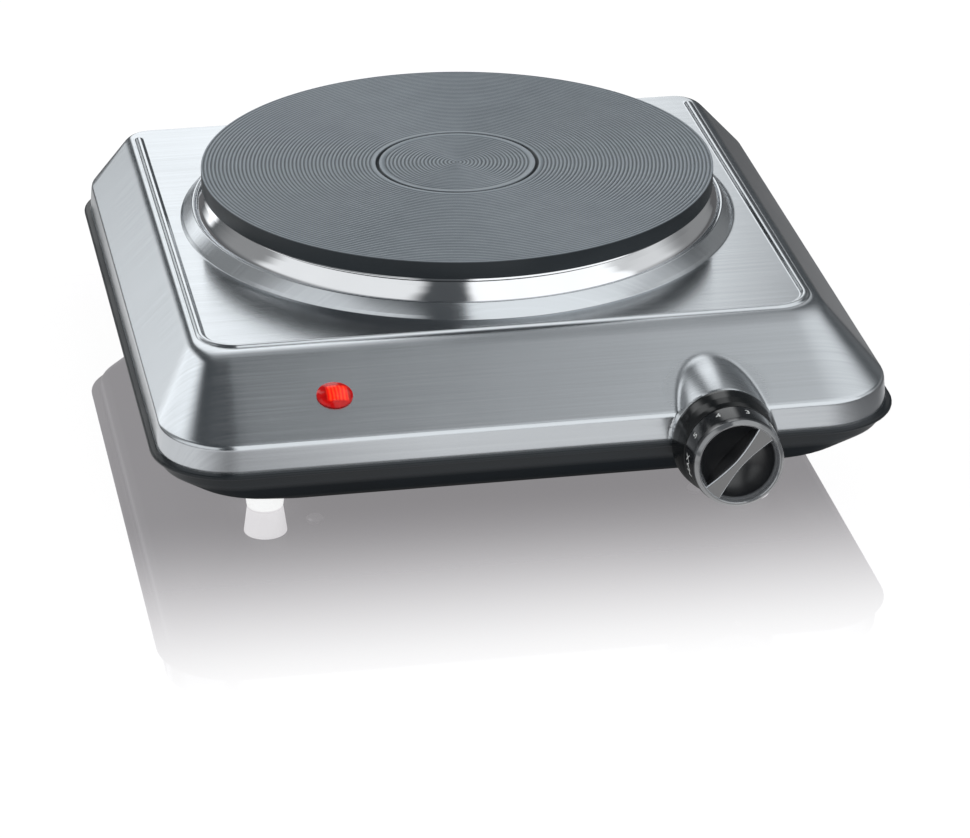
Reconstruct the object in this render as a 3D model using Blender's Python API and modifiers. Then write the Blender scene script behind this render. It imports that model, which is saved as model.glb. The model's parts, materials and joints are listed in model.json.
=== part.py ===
"""Free-standing electric hot plate burner, built as an assembly of separate pieces.

Units are metres, +Z is up and the front, with the control knob, faces -Y.
The origin lies on the worktop, under the middle of the appliance's bounding box.
"""

import math

import bpy
import bmesh
from mathutils import Matrix, Vector

# ---------------------------------------------------------------- driving sizes
GAP = 0.0003                    # clearance kept between touching pieces
SHEET = 0.0010                  # steel sheet of the housing and of the pan

PLATE_Y = 0.0371                # the plate stands behind the middle of the box
PLATE_RADIUS = 0.0900
PLATE_TOP = 0.0790              # cooking surface above the worktop
PLATE_SIDE = 0.0065             # height of the plate's outer wall
PLATE_STEP_RADIUS = 0.0870      # narrower neck that carries the spill ring
PLATE_BASE = 0.0640
RING_GROOVE_RADIUS = 0.0281
RING_GROOVE_WIDTH = 0.0014
RING_GROOVE_DEPTH = 0.0008

PANEL_Z = 0.0610                # flat top panel of the housing
COLLAR_INNER = 0.0925           # raised collar round the plate's opening
COLLAR_OUTER = 0.0976
COLLAR_Z = 0.0648
OPENING_RADIUS = 0.0900

# Levels of the housing: half width, front y, back y, front and back corner radius, height
SKIRT_FOOT = (0.1224, -0.1145, 0.1386, 0.0250, 0.0220, 0.0376)
SKIRT_TOP = (0.1217, -0.1140, 0.1381, 0.0245, 0.0215, 0.0463)
PANEL_SHOULDER = (0.1073, -0.0726, 0.1328, 0.0125, 0.0080, 0.0606)
PANEL_EDGE = (0.1063, -0.0714, 0.1321, 0.0115, 0.0070, PANEL_Z)

# Levels of the bottom pan, written the same way
PAN_LIP_TOP = (0.1246, -0.1167, 0.1408, 0.0270, 0.0240, 0.0372)
PAN_WALL_TOP = (0.1215, -0.1134, 0.1376, 0.0240, 0.0210, 0.0357)
PAN_WALL_FOOT = (0.1209, -0.1128, 0.1370, 0.0245, 0.0215, 0.0312)
PAN_BELLY = (0.1110, -0.1020, 0.1310, 0.0235, 0.0210, 0.0215)
PAN_FLOOR = (0.0930, -0.0800, 0.1210, 0.0200, 0.0200, 0.0100)

BEAD_HALF_WIDTH = 0.1030        # U-shaped bead pressed along the panel's edge
BEAD_FRONT = -0.0673
BEAD_BACK = 0.1255
BEAD_CORNER = 0.0120
BEAD_RADIUS = 0.0015
BEAD_SINK = 0.0008

CONTROL_SEAT = (0.0615, -0.1167, 0.0371)   # knob axis where it meets the housing
CONTROL_TILT = math.radians(4.0)           # the axis rises a little towards the front
BOSS_RADIUS = 0.0170
BOSS_LENGTH = 0.0500
BEZEL_RADIUS = 0.0177
BEZEL_DEPTH = 0.0112
KNOB_RADIUS = 0.0158
KNOB_BACK = 0.0115
KNOB_FACE = 0.0232
GRIP_ANGLE = math.radians(47.0)
BUSHING_RADIUS = 0.0050
SHAFT_RADIUS = 0.0030
SHAFT_FLAT = 0.0020
BORE_CLEARANCE = 0.0003

LAMP_SEAT = (-0.0639, -0.0944, 0.0530)     # centre of the lamp on the sloping front
SLOPE_TILT = math.atan2(PANEL_SHOULDER[5] - SKIRT_TOP[5], PANEL_SHOULDER[1] - SKIRT_TOP[1])
LAMP_RADIUS = 0.0060
LAMP_STEM_RADIUS = 0.0046

FOOT_PLACES = {
    "front_left": (-0.0835, -0.0626),
    "front_right": (0.0835, -0.0626),
    "rear_left": (-0.0835, 0.0940),
    "rear_right": (0.0835, 0.0940),
}
POST_PLACES = {
    "front_left": (-0.0660, -0.0580),
    "front_right": (0.0660, -0.0580),
    "rear_left": (-0.0740, 0.1100),
    "rear_right": (0.0740, 0.1100),
}
FOOT_HEIGHT = 0.0097
FOOT_BOTTOM_RADIUS = 0.0061
FOOT_TOP_RADIUS = 0.0074
FOOT_SCREW_RADIUS = 0.0020
POST_RADIUS = 0.0040
POST_SCREW_RADIUS = 0.0016
FLOOR_TOP = PAN_FLOOR[5] + SHEET

GLAND_PLACE = (0.0400, 0.1388, 0.0490)       # centre of the flat pad in the back wall
GLAND_PAD_RADIUS = 0.0095
GLAND_PAD_DEPTH = 0.0090
GLAND_BORE = 0.0037
GLAND_STEM = 0.0052
GLAND_RADIUS = 0.0085

EARTH_PLACE = (0.0640, 0.0740)
WIRE_RADIUS = 0.0009

ROUND = 48                      # sides of the large turned pieces
MEDIUM = 32                     # sides of knob-sized pieces
SMALL = 16                      # sides of screws and pins

# ------------------------------------------------------------------- materials
# name: (colour, roughness, metallic)
FINISHES = {
    "brushed_stainless": ((0.62, 0.63, 0.65, 1.0), 0.32, 1.0),
    "chromed_steel": ((0.80, 0.80, 0.82, 1.0), 0.12, 1.0),
    "cast_iron": ((0.16, 0.17, 0.18, 1.0), 0.60, 0.7),
    "black_enamel": ((0.03, 0.03, 0.035, 1.0), 0.35, 0.2),
    "gloss_black": ((0.02, 0.02, 0.022, 1.0), 0.18, 0.0),
    "white_rubber": ((0.82, 0.82, 0.80, 1.0), 0.70, 0.0),
    "red_lens": ((0.75, 0.04, 0.02, 1.0), 0.15, 0.0),
    "lamp_glass": ((0.95, 0.55, 0.35, 1.0), 0.10, 0.0),
    "zinc_steel": ((0.58, 0.59, 0.60, 1.0), 0.35, 1.0),
    "spring_steel": ((0.45, 0.46, 0.48, 1.0), 0.30, 1.0),
    "aluminised_steel": ((0.70, 0.70, 0.70, 1.0), 0.45, 1.0),
    "heating_alloy": ((0.30, 0.24, 0.20, 1.0), 0.55, 1.0),
    "ceramic": ((0.85, 0.82, 0.75, 1.0), 0.80, 0.0),
    "bakelite": ((0.10, 0.07, 0.06, 1.0), 0.45, 0.0),
    "white_plastic": ((0.80, 0.80, 0.78, 1.0), 0.50, 0.0),
    "brass": ((0.72, 0.55, 0.25, 1.0), 0.30, 1.0),
    "brown_wire": ((0.24, 0.10, 0.04, 1.0), 0.60, 0.0),
    "blue_wire": ((0.04, 0.10, 0.40, 1.0), 0.60, 0.0),
    "earth_wire": ((0.25, 0.50, 0.06, 1.0), 0.60, 0.0),
    "white_wire": ((0.75, 0.74, 0.70, 1.0), 0.65, 0.0),
}


def clear_scene():
    for obj in list(bpy.data.objects):
        bpy.data.objects.remove(obj, do_unlink=True)


def new_collection(name):
    collection = bpy.data.collections.new(name)
    bpy.context.scene.collection.children.link(collection)
    return collection


def make_material(name):
    colour, roughness, metallic = FINISHES[name]
    material = bpy.data.materials.new(name)
    material.use_nodes = True
    shader = material.node_tree.nodes["Principled BSDF"]
    shader.inputs["Base Color"].default_value = colour
    shader.inputs["Roughness"].default_value = roughness
    shader.inputs["Metallic"].default_value = metallic
    return material


def finish_of(name):
    return bpy.data.materials.get(name) or make_material(name)


def place(name, mesh, collection, finish=None, parent=None, at=(0, 0, 0), turn=(0, 0, 0)):
    obj = bpy.data.objects.new(name, mesh)
    collection.objects.link(obj)
    if finish:
        obj.data.materials.append(finish_of(finish))
    obj.parent = parent
    obj.location = at
    obj.rotation_euler = turn
    return obj


def add_empty(name, at, turn=(0, 0, 0), parent=None):
    empty = bpy.data.objects.new(name, None)
    PARTS.objects.link(empty)
    empty.empty_display_size = 0.02
    empty.parent = parent
    empty.location = at
    empty.rotation_euler = turn
    return empty


def as_cutter(obj):
    obj.hide_render = True
    obj.display_type = "WIRE"
    return obj


def combine(obj, other, operation):
    modifier = obj.modifiers.new(f"{operation.lower()} {other.name}", "BOOLEAN")
    modifier.operation = operation
    modifier.solver = "EXACT"
    modifier.object = other
    as_cutter(other)


def smooth_round(mesh):
    mesh.shade_smooth()
    mesh.set_sharp_from_angle(angle=math.radians(35))


# ------------------------------------------------------------ modelling helpers
def turned(name, profile, collection, finish=None, steps=MEDIUM, ring=False, **where):
    """Profile of (radius, height) points, down the outer side, turned about local Z."""
    mesh = bpy.data.meshes.new(name)
    count = len(profile)
    edges = [(i, i + 1) for i in range(count - 1)]
    if ring:
        edges.append((count - 1, 0))
    mesh.from_pydata([(r, 0.0, z) for r, z in profile], edges, [])
    obj = place(name, mesh, collection, finish, **where)
    screw = obj.modifiers.new("turn", "SCREW")
    screw.axis = "Z"
    screw.angle = math.tau
    screw.steps = steps
    screw.render_steps = steps
    screw.use_merge_vertices = True
    screw.merge_threshold = 0.00001
    screw.use_smooth_shade = True
    return obj


def rod(name, radius, low, high, collection, finish=None, sides=SMALL, **where):
    """Closed cylinder along local Z from low to high."""
    mesh = bpy.data.meshes.new(name)
    shape = bmesh.new()
    middle = Matrix.Translation((0, 0, (low + high) / 2))
    bmesh.ops.create_cone(shape, cap_ends=True, segments=sides, radius1=radius, radius2=radius,
                          depth=high - low, matrix=middle)
    shape.to_mesh(mesh)
    shape.free()
    if sides > 8:
        smooth_round(mesh)
    return place(name, mesh, collection, finish, **where)


def block(name, low, high, collection, finish=None, bevel=0.0, **where):
    """Box between two opposite corners, with its edges broken by a bevel."""
    low = Vector(low)
    high = Vector(high)
    mesh = bpy.data.meshes.new(name)
    shape = bmesh.new()
    size = high - low
    matrix = Matrix.Translation((low + high) / 2) @ Matrix.Diagonal((*size, 1.0))
    bmesh.ops.create_cube(shape, size=1.0, matrix=matrix)
    shape.to_mesh(mesh)
    shape.free()
    obj = place(name, mesh, collection, finish, **where)
    if bevel:
        edge = obj.modifiers.new("broken edges", "BEVEL")
        edge.width = bevel
        edge.segments = 1
    return obj


def curve_mesh(curve, name):
    """Mesh of a curve object, with its caps welded to its sides; the curve is removed."""
    graph = bpy.context.evaluated_depsgraph_get()
    mesh = bpy.data.meshes.new_from_object(curve.evaluated_get(graph))
    mesh.name = name
    shape = bmesh.new()
    shape.from_mesh(mesh)
    bmesh.ops.remove_doubles(shape, verts=shape.verts, dist=0.00001)
    shape.to_mesh(mesh)
    shape.free()
    bpy.data.objects.remove(curve, do_unlink=True)
    return mesh


def outlined(name, outline, low, high, collection, finish=None, **where):
    """Flat piece of a closed outline in local XY, between two heights."""
    data = bpy.data.curves.new(name, "CURVE")
    data.dimensions = "2D"
    data.fill_mode = "BOTH"
    data.extrude = (high - low) / 2
    spline = data.splines.new("POLY")
    spline.points.add(len(outline) - 1)
    for point, (x, y) in zip(spline.points, outline):
        point.co = (x, y, 0.0, 1.0)
    spline.use_cyclic_u = True
    curve = place(name + "_outline", data, CUTTERS)
    mesh = curve_mesh(curve, name)
    mesh.transform(Matrix.Translation((0, 0, (low + high) / 2)))
    return place(name, mesh, collection, finish, **where)


def tube(name, points, radius, collection, finish=None, **where):
    """Round wire through the points, with closed ends."""
    data = bpy.data.curves.new(name, "CURVE")
    data.dimensions = "3D"
    data.bevel_depth = radius
    data.bevel_resolution = 2
    data.use_fill_caps = True
    spline = data.splines.new("POLY")
    spline.points.add(len(points) - 1)
    for target, point in zip(spline.points, points):
        target.co = (*point, 1.0)
    curve = place(name + "_route", data, CUTTERS)
    mesh = curve_mesh(curve, name)
    smooth_round(mesh)
    return place(name, mesh, collection, finish, **where)


def smooth_route(points, steps=3):
    """Points along a Catmull-Rom curve through the given ones."""
    guides = [Vector(p) for p in points]
    guides = [2 * guides[0] - guides[1]] + guides + [2 * guides[-1] - guides[-2]]
    route = []
    for a, b, c, d in zip(guides, guides[1:], guides[2:], guides[3:]):
        for step in range(steps):
            t = step / steps
            route.append(0.5 * (2 * b + (c - a) * t + (2 * a - 5 * b + 4 * c - d) * t ** 2
                                + (3 * b - a - 3 * c + d) * t ** 3))
    route.append(guides[-2])
    return route


def rounded_loop(level, corner_steps=5, inset=0.0, height=None):
    """Rounded rectangle of a level, counter-clockwise from its front right corner."""
    half, front, back, front_radius, back_radius, z = level
    half -= inset
    front += inset
    back -= inset
    front_radius -= inset
    back_radius -= inset
    corners = (
        (half - front_radius, front + front_radius, front_radius, -0.25),
        (half - back_radius, back - back_radius, back_radius, 0.0),
        (-half + back_radius, back - back_radius, back_radius, 0.25),
        (-half + front_radius, front + front_radius, front_radius, 0.5),
    )
    points = []
    for x, y, radius, start in corners:
        for step in range(corner_steps + 1):
            angle = math.tau * (start + 0.25 * step / corner_steps)
            points.append((x + radius * math.cos(angle), y + radius * math.sin(angle),
                           z if height is None else height))
    return points


def lofted(name, loops, collection, finish=None):
    """Closed body through stacked loops of equal length, capped at both ends."""
    mesh = bpy.data.meshes.new(name)
    shape = bmesh.new()
    rows = [[shape.verts.new(point) for point in loop] for loop in loops]
    for low, high in zip(rows, rows[1:]):
        for i in range(len(low)):
            j = (i + 1) % len(low)
            shape.faces.new((low[i], low[j], high[j], high[i]))
    shape.faces.new(list(reversed(rows[0])))
    shape.faces.new(rows[-1])
    bmesh.ops.recalc_face_normals(shape, faces=shape.faces)
    shape.to_mesh(mesh)
    shape.free()
    return place(name, mesh, collection, finish)


def screw_profile(head_radius, head_low, head_high, shank_radius, shank_high):
    """Screw that points up, its low, slightly domed head underneath."""
    crown = (head_high - head_low) * 0.35
    return [
        (0.0, shank_high),
        (shank_radius * 0.75, shank_high),
        (shank_radius, shank_high - 0.0005),
        (shank_radius, head_high),
        (head_radius, head_high),
        (head_radius, head_low + crown),
        (head_radius * 0.8, head_low),
        (0.0, head_low),
    ]


def hex_nut(name, radius, bore, low, high, collection, finish, **where):
    nut = rod(name, radius, low, high, collection, finish, sides=6, **where)
    hole = rod(f"{name}_bore", bore, low - 0.002, high + 0.002, CUTTERS, **where)
    combine(nut, hole, "DIFFERENCE")
    return nut


# --------------------------------------------------------------------- heating
def make_hot_plate(axis):
    """Cast plate with a rim, a narrower neck and a dished underside."""
    chamfer = 0.0009
    groove_in = RING_GROOVE_RADIUS - RING_GROOVE_WIDTH / 2
    groove_out = RING_GROOVE_RADIUS + RING_GROOVE_WIDTH / 2
    groove_z = PLATE_TOP - RING_GROOVE_DEPTH
    side_low = PLATE_TOP - PLATE_SIDE
    web = 0.0700
    boss = 0.0660
    stud_hole = SHAFT_RADIUS + BORE_CLEARANCE
    profile = [
        (0.0, PLATE_TOP), (groove_in, PLATE_TOP), (groove_in, groove_z),
        (groove_out, groove_z), (groove_out, PLATE_TOP),
        (PLATE_RADIUS - chamfer, PLATE_TOP), (PLATE_RADIUS, PLATE_TOP - chamfer),
        (PLATE_RADIUS, side_low), (PLATE_STEP_RADIUS, side_low),
        (PLATE_STEP_RADIUS, PLATE_BASE), (0.0800, PLATE_BASE), (0.0800, web),
        (0.0100, web), (0.0100, boss), (stud_hole, boss),
        (stud_hole, 0.0740), (0.0, 0.0740),
    ]
    turned("hot_plate", profile, PARTS, "cast_iron", ROUND, parent=axis)


def make_spill_ring(axis):
    """Bright flared ring that hangs under the plate's rim and covers the opening."""
    inner = PLATE_STEP_RADIUS + GAP
    top = PLATE_TOP - PLATE_SIDE - GAP
    wall = 0.0006
    profile = [
        (inner, top), (0.0882, top), (0.0899, top - 0.0022), (0.0916, top - 0.0048),
        (0.0924, top - 0.0074), (0.0924 - wall, top - 0.0074),
        (0.0909, top - 0.0049), (0.0893, top - 0.0025), (inner + wall, top - wall),
        (inner + wall, PLATE_BASE + 0.001), (inner, PLATE_BASE + 0.001),
    ]
    turned("spill_ring", profile, PARTS, "chromed_steel", ROUND, ring=True, parent=axis)


def make_heating_coil(axis):
    """Flat spiral of resistance wire, pressed against the plate's underside."""
    turns = 3
    per_turn = 20
    inner = 0.0200
    outer = 0.0730
    height = 0.0684
    points = []
    for step in range(turns * per_turn + 1):
        share = step / (turns * per_turn)
        radius = inner + (outer - inner) * share
        angle = math.tau * turns * share
        points.append((radius * math.cos(angle), radius * math.sin(angle), height))
    tube("heating_coil", points, 0.0012, PARTS, "heating_alloy", parent=axis)


def make_insulation_disc(axis):
    profile = [(0.0120, 0.0669), (0.0780, 0.0669), (0.0780, 0.0635), (0.0120, 0.0635)]
    turned("insulation_disc", profile, PARTS, "ceramic", MEDIUM, ring=True, parent=axis)


def make_heat_shield(axis):
    """Shallow reflector dish with a window for the plate's terminal block."""
    bore = SHAFT_RADIUS + BORE_CLEARANCE
    profile = [
        (bore, 0.0570), (0.0730, 0.0570), (0.0750, 0.0610), (0.0758, 0.0610),
        (0.0738, 0.0560), (bore, 0.0560),
    ]
    shield = turned("heat_shield", list(reversed(profile)), PARTS, "aluminised_steel", MEDIUM,
                    ring=True, parent=axis)
    window = block("heat_shield_window", (-0.0150, -0.0530, 0.0500), (0.0150, -0.0370, 0.0620),
                   CUTTERS, parent=axis)
    combine(shield, window, "DIFFERENCE")


def make_plate_clamp(axis):
    """Stud, bridge, washer and nut that pull the plate down onto the housing."""
    profile = [(0.0, 0.0737), (0.0026, 0.0737), (SHAFT_RADIUS, 0.0732),
               (SHAFT_RADIUS, 0.0405), (0.0026, 0.0400), (0.0, 0.0400)]
    turned("plate_stud", profile, PARTS, "zinc_steel", SMALL, parent=axis)
    make_clamp_bridge(axis)
    bore = SHAFT_RADIUS + BORE_CLEARANCE
    washer = [(bore, 0.0497), (0.0080, 0.0497), (0.0080, 0.0482), (bore, 0.0482)]
    turned("clamp_washer", washer, PARTS, "zinc_steel", SMALL, ring=True, parent=axis)
    hex_nut("clamp_nut", 0.0058, bore, 0.0430, 0.0479, PARTS, "zinc_steel", parent=axis)


def make_clamp_bridge(axis):
    """Strip across the opening whose raised ends bear on the panel from below."""
    half = 0.1005
    pad = 0.0930
    ramp = 0.0860
    low = 0.0500
    rise = PANEL_Z - SHEET - GAP - 0.0020
    thick = 0.0020
    right = [(pad, rise), (half, rise), (half, rise + thick), (pad, rise + thick),
             (ramp, low + thick)]
    left = [(-x, z) for x, z in reversed(right)]
    outline = [(ramp, low)] + right + left + [(-ramp, low)]
    width = 0.0100
    bridge = outlined("clamp_bridge", outline, -width, width, PARTS, "zinc_steel",
                      parent=axis, turn=(math.radians(90), 0, 0))
    hole = rod("clamp_bridge_hole", SHAFT_RADIUS + BORE_CLEARANCE, 0.0450, 0.0560, CUTTERS,
               parent=axis)
    combine(bridge, hole, "DIFFERENCE")


def make_thermal_cutout(axis):
    profile = [(0.0, 0.0557), (0.0078, 0.0557), (0.0084, 0.0550), (0.0084, 0.0535),
               (0.0070, 0.0530), (0.0070, 0.0500), (0.0, 0.0500)]
    turned("thermal_cutout", profile, PARTS, "bakelite", 20, parent=axis, at=(0.0300, 0.0240, 0))


# --------------------------------------------------------------------- casings
def make_top_housing(axis, control, lamp, gland):
    """Pressed steel hood: sloping sides, flat panel, collar, bead and control boss."""
    inner_panel = PANEL_Z - SHEET
    inner_crease = SKIRT_TOP[5] - 0.0006
    loops = [
        rounded_loop(PANEL_EDGE, inset=0.0004, height=inner_panel),
        rounded_loop(PANEL_SHOULDER, inset=0.0008, height=inner_panel - 0.0006),
        rounded_loop(SKIRT_TOP, inset=SHEET, height=inner_crease),
        rounded_loop(SKIRT_FOOT, inset=SHEET),
        rounded_loop(SKIRT_FOOT),
        rounded_loop(SKIRT_TOP),
        rounded_loop(PANEL_SHOULDER),
        rounded_loop(PANEL_EDGE),
    ]
    hood = lofted("top_housing", loops, PARTS, "brushed_stainless")
    add_collar(hood, axis)
    add_bead(hood)
    add_boss(hood, control)
    stem = rod("lamp_hole", LAMP_STEM_RADIUS + GAP, -0.006, 0.006, CUTTERS, parent=lamp)
    combine(hood, stem, "DIFFERENCE")
    add_gland_pad(hood, gland)


def within_panel(shape, inset):
    """Cut a turned shape off behind, at a distance inside the panel's outline."""
    low = rounded_loop(PANEL_SHOULDER, inset=inset, height=PANEL_Z - 0.0150)
    high = rounded_loop(PANEL_SHOULDER, inset=inset, height=COLLAR_Z + 0.0150)
    combine(shape, lofted(f"{shape.name}_limit", [low, high], CUTTERS), "INTERSECT")


def add_collar(hood, axis):
    """Raised collar round the opening, with the sheet hollow underneath it."""
    foot = PANEL_Z - SHEET * 0.5
    profile = [
        (COLLAR_INNER - 0.0025, COLLAR_Z - 0.0004), (COLLAR_INNER, COLLAR_Z - 0.0004),
        (COLLAR_INNER + 0.0008, COLLAR_Z), (COLLAR_OUTER - 0.0008, PANEL_Z + 0.0008),
        (COLLAR_OUTER, PANEL_Z), (COLLAR_OUTER, foot), (COLLAR_INNER - 0.0025, foot),
    ]
    collar = turned("collar", profile, CUTTERS, steps=ROUND, ring=True, parent=axis)
    within_panel(collar, GAP)
    combine(hood, collar, "UNION")
    hollow_profile = [
        (0.0, COLLAR_Z + 0.0100), (OPENING_RADIUS, COLLAR_Z + 0.0100),
        (OPENING_RADIUS, COLLAR_Z - 0.0014), (COLLAR_INNER + 0.0004, COLLAR_Z - 0.0014),
        (COLLAR_OUTER - 0.0018, PANEL_Z - 0.0008), (COLLAR_OUTER - 0.0018, PANEL_Z - 0.0100),
        (0.0, PANEL_Z - 0.0100),
    ]
    hollow = turned("collar_hollow", hollow_profile, CUTTERS, steps=ROUND, parent=axis)
    within_panel(hollow, GAP + SHEET)
    combine(hood, hollow, "DIFFERENCE")


def add_bead(hood):
    """U-shaped raised bead along the left, front and right of the panel."""
    turn_x = BEAD_HALF_WIDTH - BEAD_CORNER
    turn_y = BEAD_FRONT + BEAD_CORNER
    corner_steps = 5
    height = PANEL_Z - BEAD_SINK
    right = [(BEAD_HALF_WIDTH, BEAD_BACK, height)]
    for step in range(corner_steps + 1):
        angle = math.radians(90) * step / corner_steps
        right.append((turn_x + BEAD_CORNER * math.cos(angle),
                      turn_y - BEAD_CORNER * math.sin(angle), height))
    left = [(-x, y, z) for x, y, z in reversed(right)]
    bead = tube("panel_bead", right + left, BEAD_RADIUS, CUTTERS)
    combine(hood, bead, "UNION")


def add_boss(hood, control):
    """Half-round boss on the front slope, which carries the bezel and the regulator."""
    drop = SKIRT_FOOT[5] - CONTROL_SEAT[2]
    boss = rod("boss", BOSS_RADIUS, -BOSS_LENGTH, 0.0, CUTTERS, sides=MEDIUM, parent=control)
    room = rod("boss_room", BOSS_RADIUS - SHEET, -BOSS_LENGTH, -SHEET, CUTTERS, sides=MEDIUM,
               parent=control)
    for shape, height in ((boss, drop), (room, drop - 0.0010)):
        below = block(f"{shape.name}_underside", (-0.03, -0.03, -0.07), (0.03, height, 0.01),
                      CUTTERS, parent=control)
        combine(shape, below, "DIFFERENCE")
    press_out(hood, boss, room)
    hole = rod("bushing_hole", BUSHING_RADIUS + GAP, -0.008, 0.008, CUTTERS, parent=control)
    combine(hood, hole, "DIFFERENCE")


def add_gland_pad(hood, gland):
    """Round flat pad pressed out of the sloping back wall, with the gland's hole."""
    pad = rod("gland_pad", GLAND_PAD_RADIUS, -GLAND_PAD_DEPTH, 0.0, CUTTERS, sides=MEDIUM,
              parent=gland)
    room = rod("gland_pad_room", GLAND_PAD_RADIUS - SHEET, -GLAND_PAD_DEPTH, -SHEET, CUTTERS,
               sides=MEDIUM, parent=gland)
    press_out(hood, pad, room)
    hole = rod("gland_hole", GLAND_STEM + GAP, -0.0040, 0.0040, CUTTERS, parent=gland)
    combine(hood, hole, "DIFFERENCE")


def press_out(hood, shape, room):
    """Raise a hollow shape out of the hood's sheet; the room inside it is left open."""
    combine(shape, inner_space(f"{shape.name}_inner_space"), "DIFFERENCE")
    combine(hood, shape, "UNION")
    combine(hood, room, "DIFFERENCE")


def inner_space(name):
    """Space under the hood, short of its walls, that a pressed shape stays out of."""
    margin = SHEET * 0.5
    loops = [
        rounded_loop(SKIRT_FOOT, inset=margin, height=0.0200),
        rounded_loop(SKIRT_TOP, inset=margin, height=SKIRT_TOP[5] - 0.0003),
        rounded_loop(PANEL_SHOULDER, inset=margin, height=PANEL_SHOULDER[5] - 0.0004),
        rounded_loop(PANEL_EDGE, inset=margin, height=PANEL_EDGE[5] - 0.0004),
    ]
    return lofted(name, loops, CUTTERS)


def make_bottom_pan(control):
    """Black pan with a rolled lip, sloping sides, a flat floor and vents."""
    inner_wall = PAN_WALL_FOOT[5] + 0.0006
    lip_low = PAN_WALL_TOP[5]
    loops = [
        rounded_loop(PAN_FLOOR),
        rounded_loop(PAN_BELLY),
        rounded_loop(PAN_WALL_FOOT),
        rounded_loop(PAN_WALL_TOP),
        rounded_loop(PAN_LIP_TOP, height=lip_low),
        rounded_loop(PAN_LIP_TOP),
        rounded_loop(PAN_WALL_TOP, inset=SHEET, height=PAN_LIP_TOP[5]),
        rounded_loop(PAN_WALL_FOOT, inset=SHEET, height=inner_wall),
        rounded_loop(PAN_BELLY, inset=0.0007, height=PAN_BELLY[5] + 0.0007),
        rounded_loop(PAN_FLOOR, inset=0.0004, height=FLOOR_TOP),
    ]
    pan = lofted("bottom_pan", loops, PARTS, "black_enamel")
    hole = rod("pan_bushing_hole", BUSHING_RADIUS + GAP, -0.008, 0.008, CUTTERS, parent=control)
    combine(pan, hole, "DIFFERENCE")
    for name, (x, y) in FOOT_PLACES.items():
        cut_floor(pan, f"foot_hole_{name}", FOOT_SCREW_RADIUS + GAP, x, y)
    for name, (x, y) in POST_PLACES.items():
        cut_floor(pan, f"post_hole_{name}", POST_SCREW_RADIUS + GAP, x, y)
    cut_floor(pan, "earth_hole", 0.0021, *EARTH_PLACE)
    cut_vents(pan)


def cut_floor(pan, name, radius, x, y):
    hole = rod(name, radius, FLOOR_TOP - 0.004, FLOOR_TOP + 0.003, CUTTERS, sides=12,
               at=(x, y, 0))
    combine(pan, hole, "DIFFERENCE")


def cut_vents(pan):
    """Rows of cooling slots through the pan's floor."""
    half_length = 0.0130
    half_width = 0.0015
    for row, y in enumerate((0.0200, 0.0560)):
        for column in range(3):
            x = (column - 1) * 0.0380
            slot = block(f"vent_{row}_{column}", (x - half_length, y - half_width, 0.008),
                         (x + half_length, y + half_width, 0.013), CUTTERS)
            combine(pan, slot, "DIFFERENCE")


def make_feet():
    """Tapered feet, each on its own screw and nut."""
    counterbore = 0.0042
    recess = 0.0040
    bore = FOOT_SCREW_RADIUS + GAP
    foot = [
        (FOOT_TOP_RADIUS - 0.0004, FOOT_HEIGHT), (FOOT_TOP_RADIUS, FOOT_HEIGHT - 0.0004),
        (FOOT_BOTTOM_RADIUS, 0.0), (counterbore, 0.0), (counterbore, recess), (bore, recess),
        (bore, FOOT_HEIGHT),
    ]
    screw = screw_profile(0.0038, 0.0014, recess - GAP, FOOT_SCREW_RADIUS, 0.0155)
    for name, (x, y) in FOOT_PLACES.items():
        at = (x, y, 0)
        turned(f"foot_{name}", foot, PARTS, "white_rubber", 20, ring=True, at=at)
        turned(f"foot_screw_{name}", screw, PARTS, "zinc_steel", 12, at=at)
        hex_nut(f"foot_nut_{name}", 0.0040, bore, FLOOR_TOP + GAP, FLOOR_TOP + 0.0030,
                PARTS, "zinc_steel", at=at)


def make_posts():
    """Hexagonal posts under the hood, which the pan's screws pull on."""
    low = FLOOR_TOP + GAP
    high = PANEL_Z - SHEET - GAP
    bore = POST_SCREW_RADIUS + GAP
    head_high = PAN_FLOOR[5] - GAP
    screw = screw_profile(0.0030, head_high - 0.0018, head_high, POST_SCREW_RADIUS, 0.0200)
    for name, (x, y) in POST_PLACES.items():
        at = (x, y, 0)
        post = rod(f"housing_post_{name}", POST_RADIUS, low, high, PARTS, "zinc_steel", sides=6,
                   at=at)
        hole = rod(f"housing_post_bore_{name}", bore, low - 0.002, 0.0210, CUTTERS, sides=12,
                   at=at)
        combine(post, hole, "DIFFERENCE")
        turned(f"housing_screw_{name}", screw, PARTS, "zinc_steel", 12, at=at)


def make_cord_gland(axis):
    """Bushing in the back wall for the supply cord, with its nut inside."""
    face = 0.0019
    tail = -0.0090
    profile = [
        (GLAND_STEM, face), (GLAND_RADIUS - 0.0004, face), (GLAND_RADIUS, face - 0.0005),
        (GLAND_RADIUS, GAP), (GLAND_STEM, GAP), (GLAND_STEM, tail), (GLAND_BORE, tail),
        (GLAND_BORE, face),
    ]
    turned("cord_gland", profile, PARTS, "gloss_black", 24, ring=True, parent=axis)
    hex_nut("gland_nut", 0.0076, GLAND_STEM + GAP, -0.0050, -SHEET - GAP, PARTS, "gloss_black",
            parent=axis)


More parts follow.
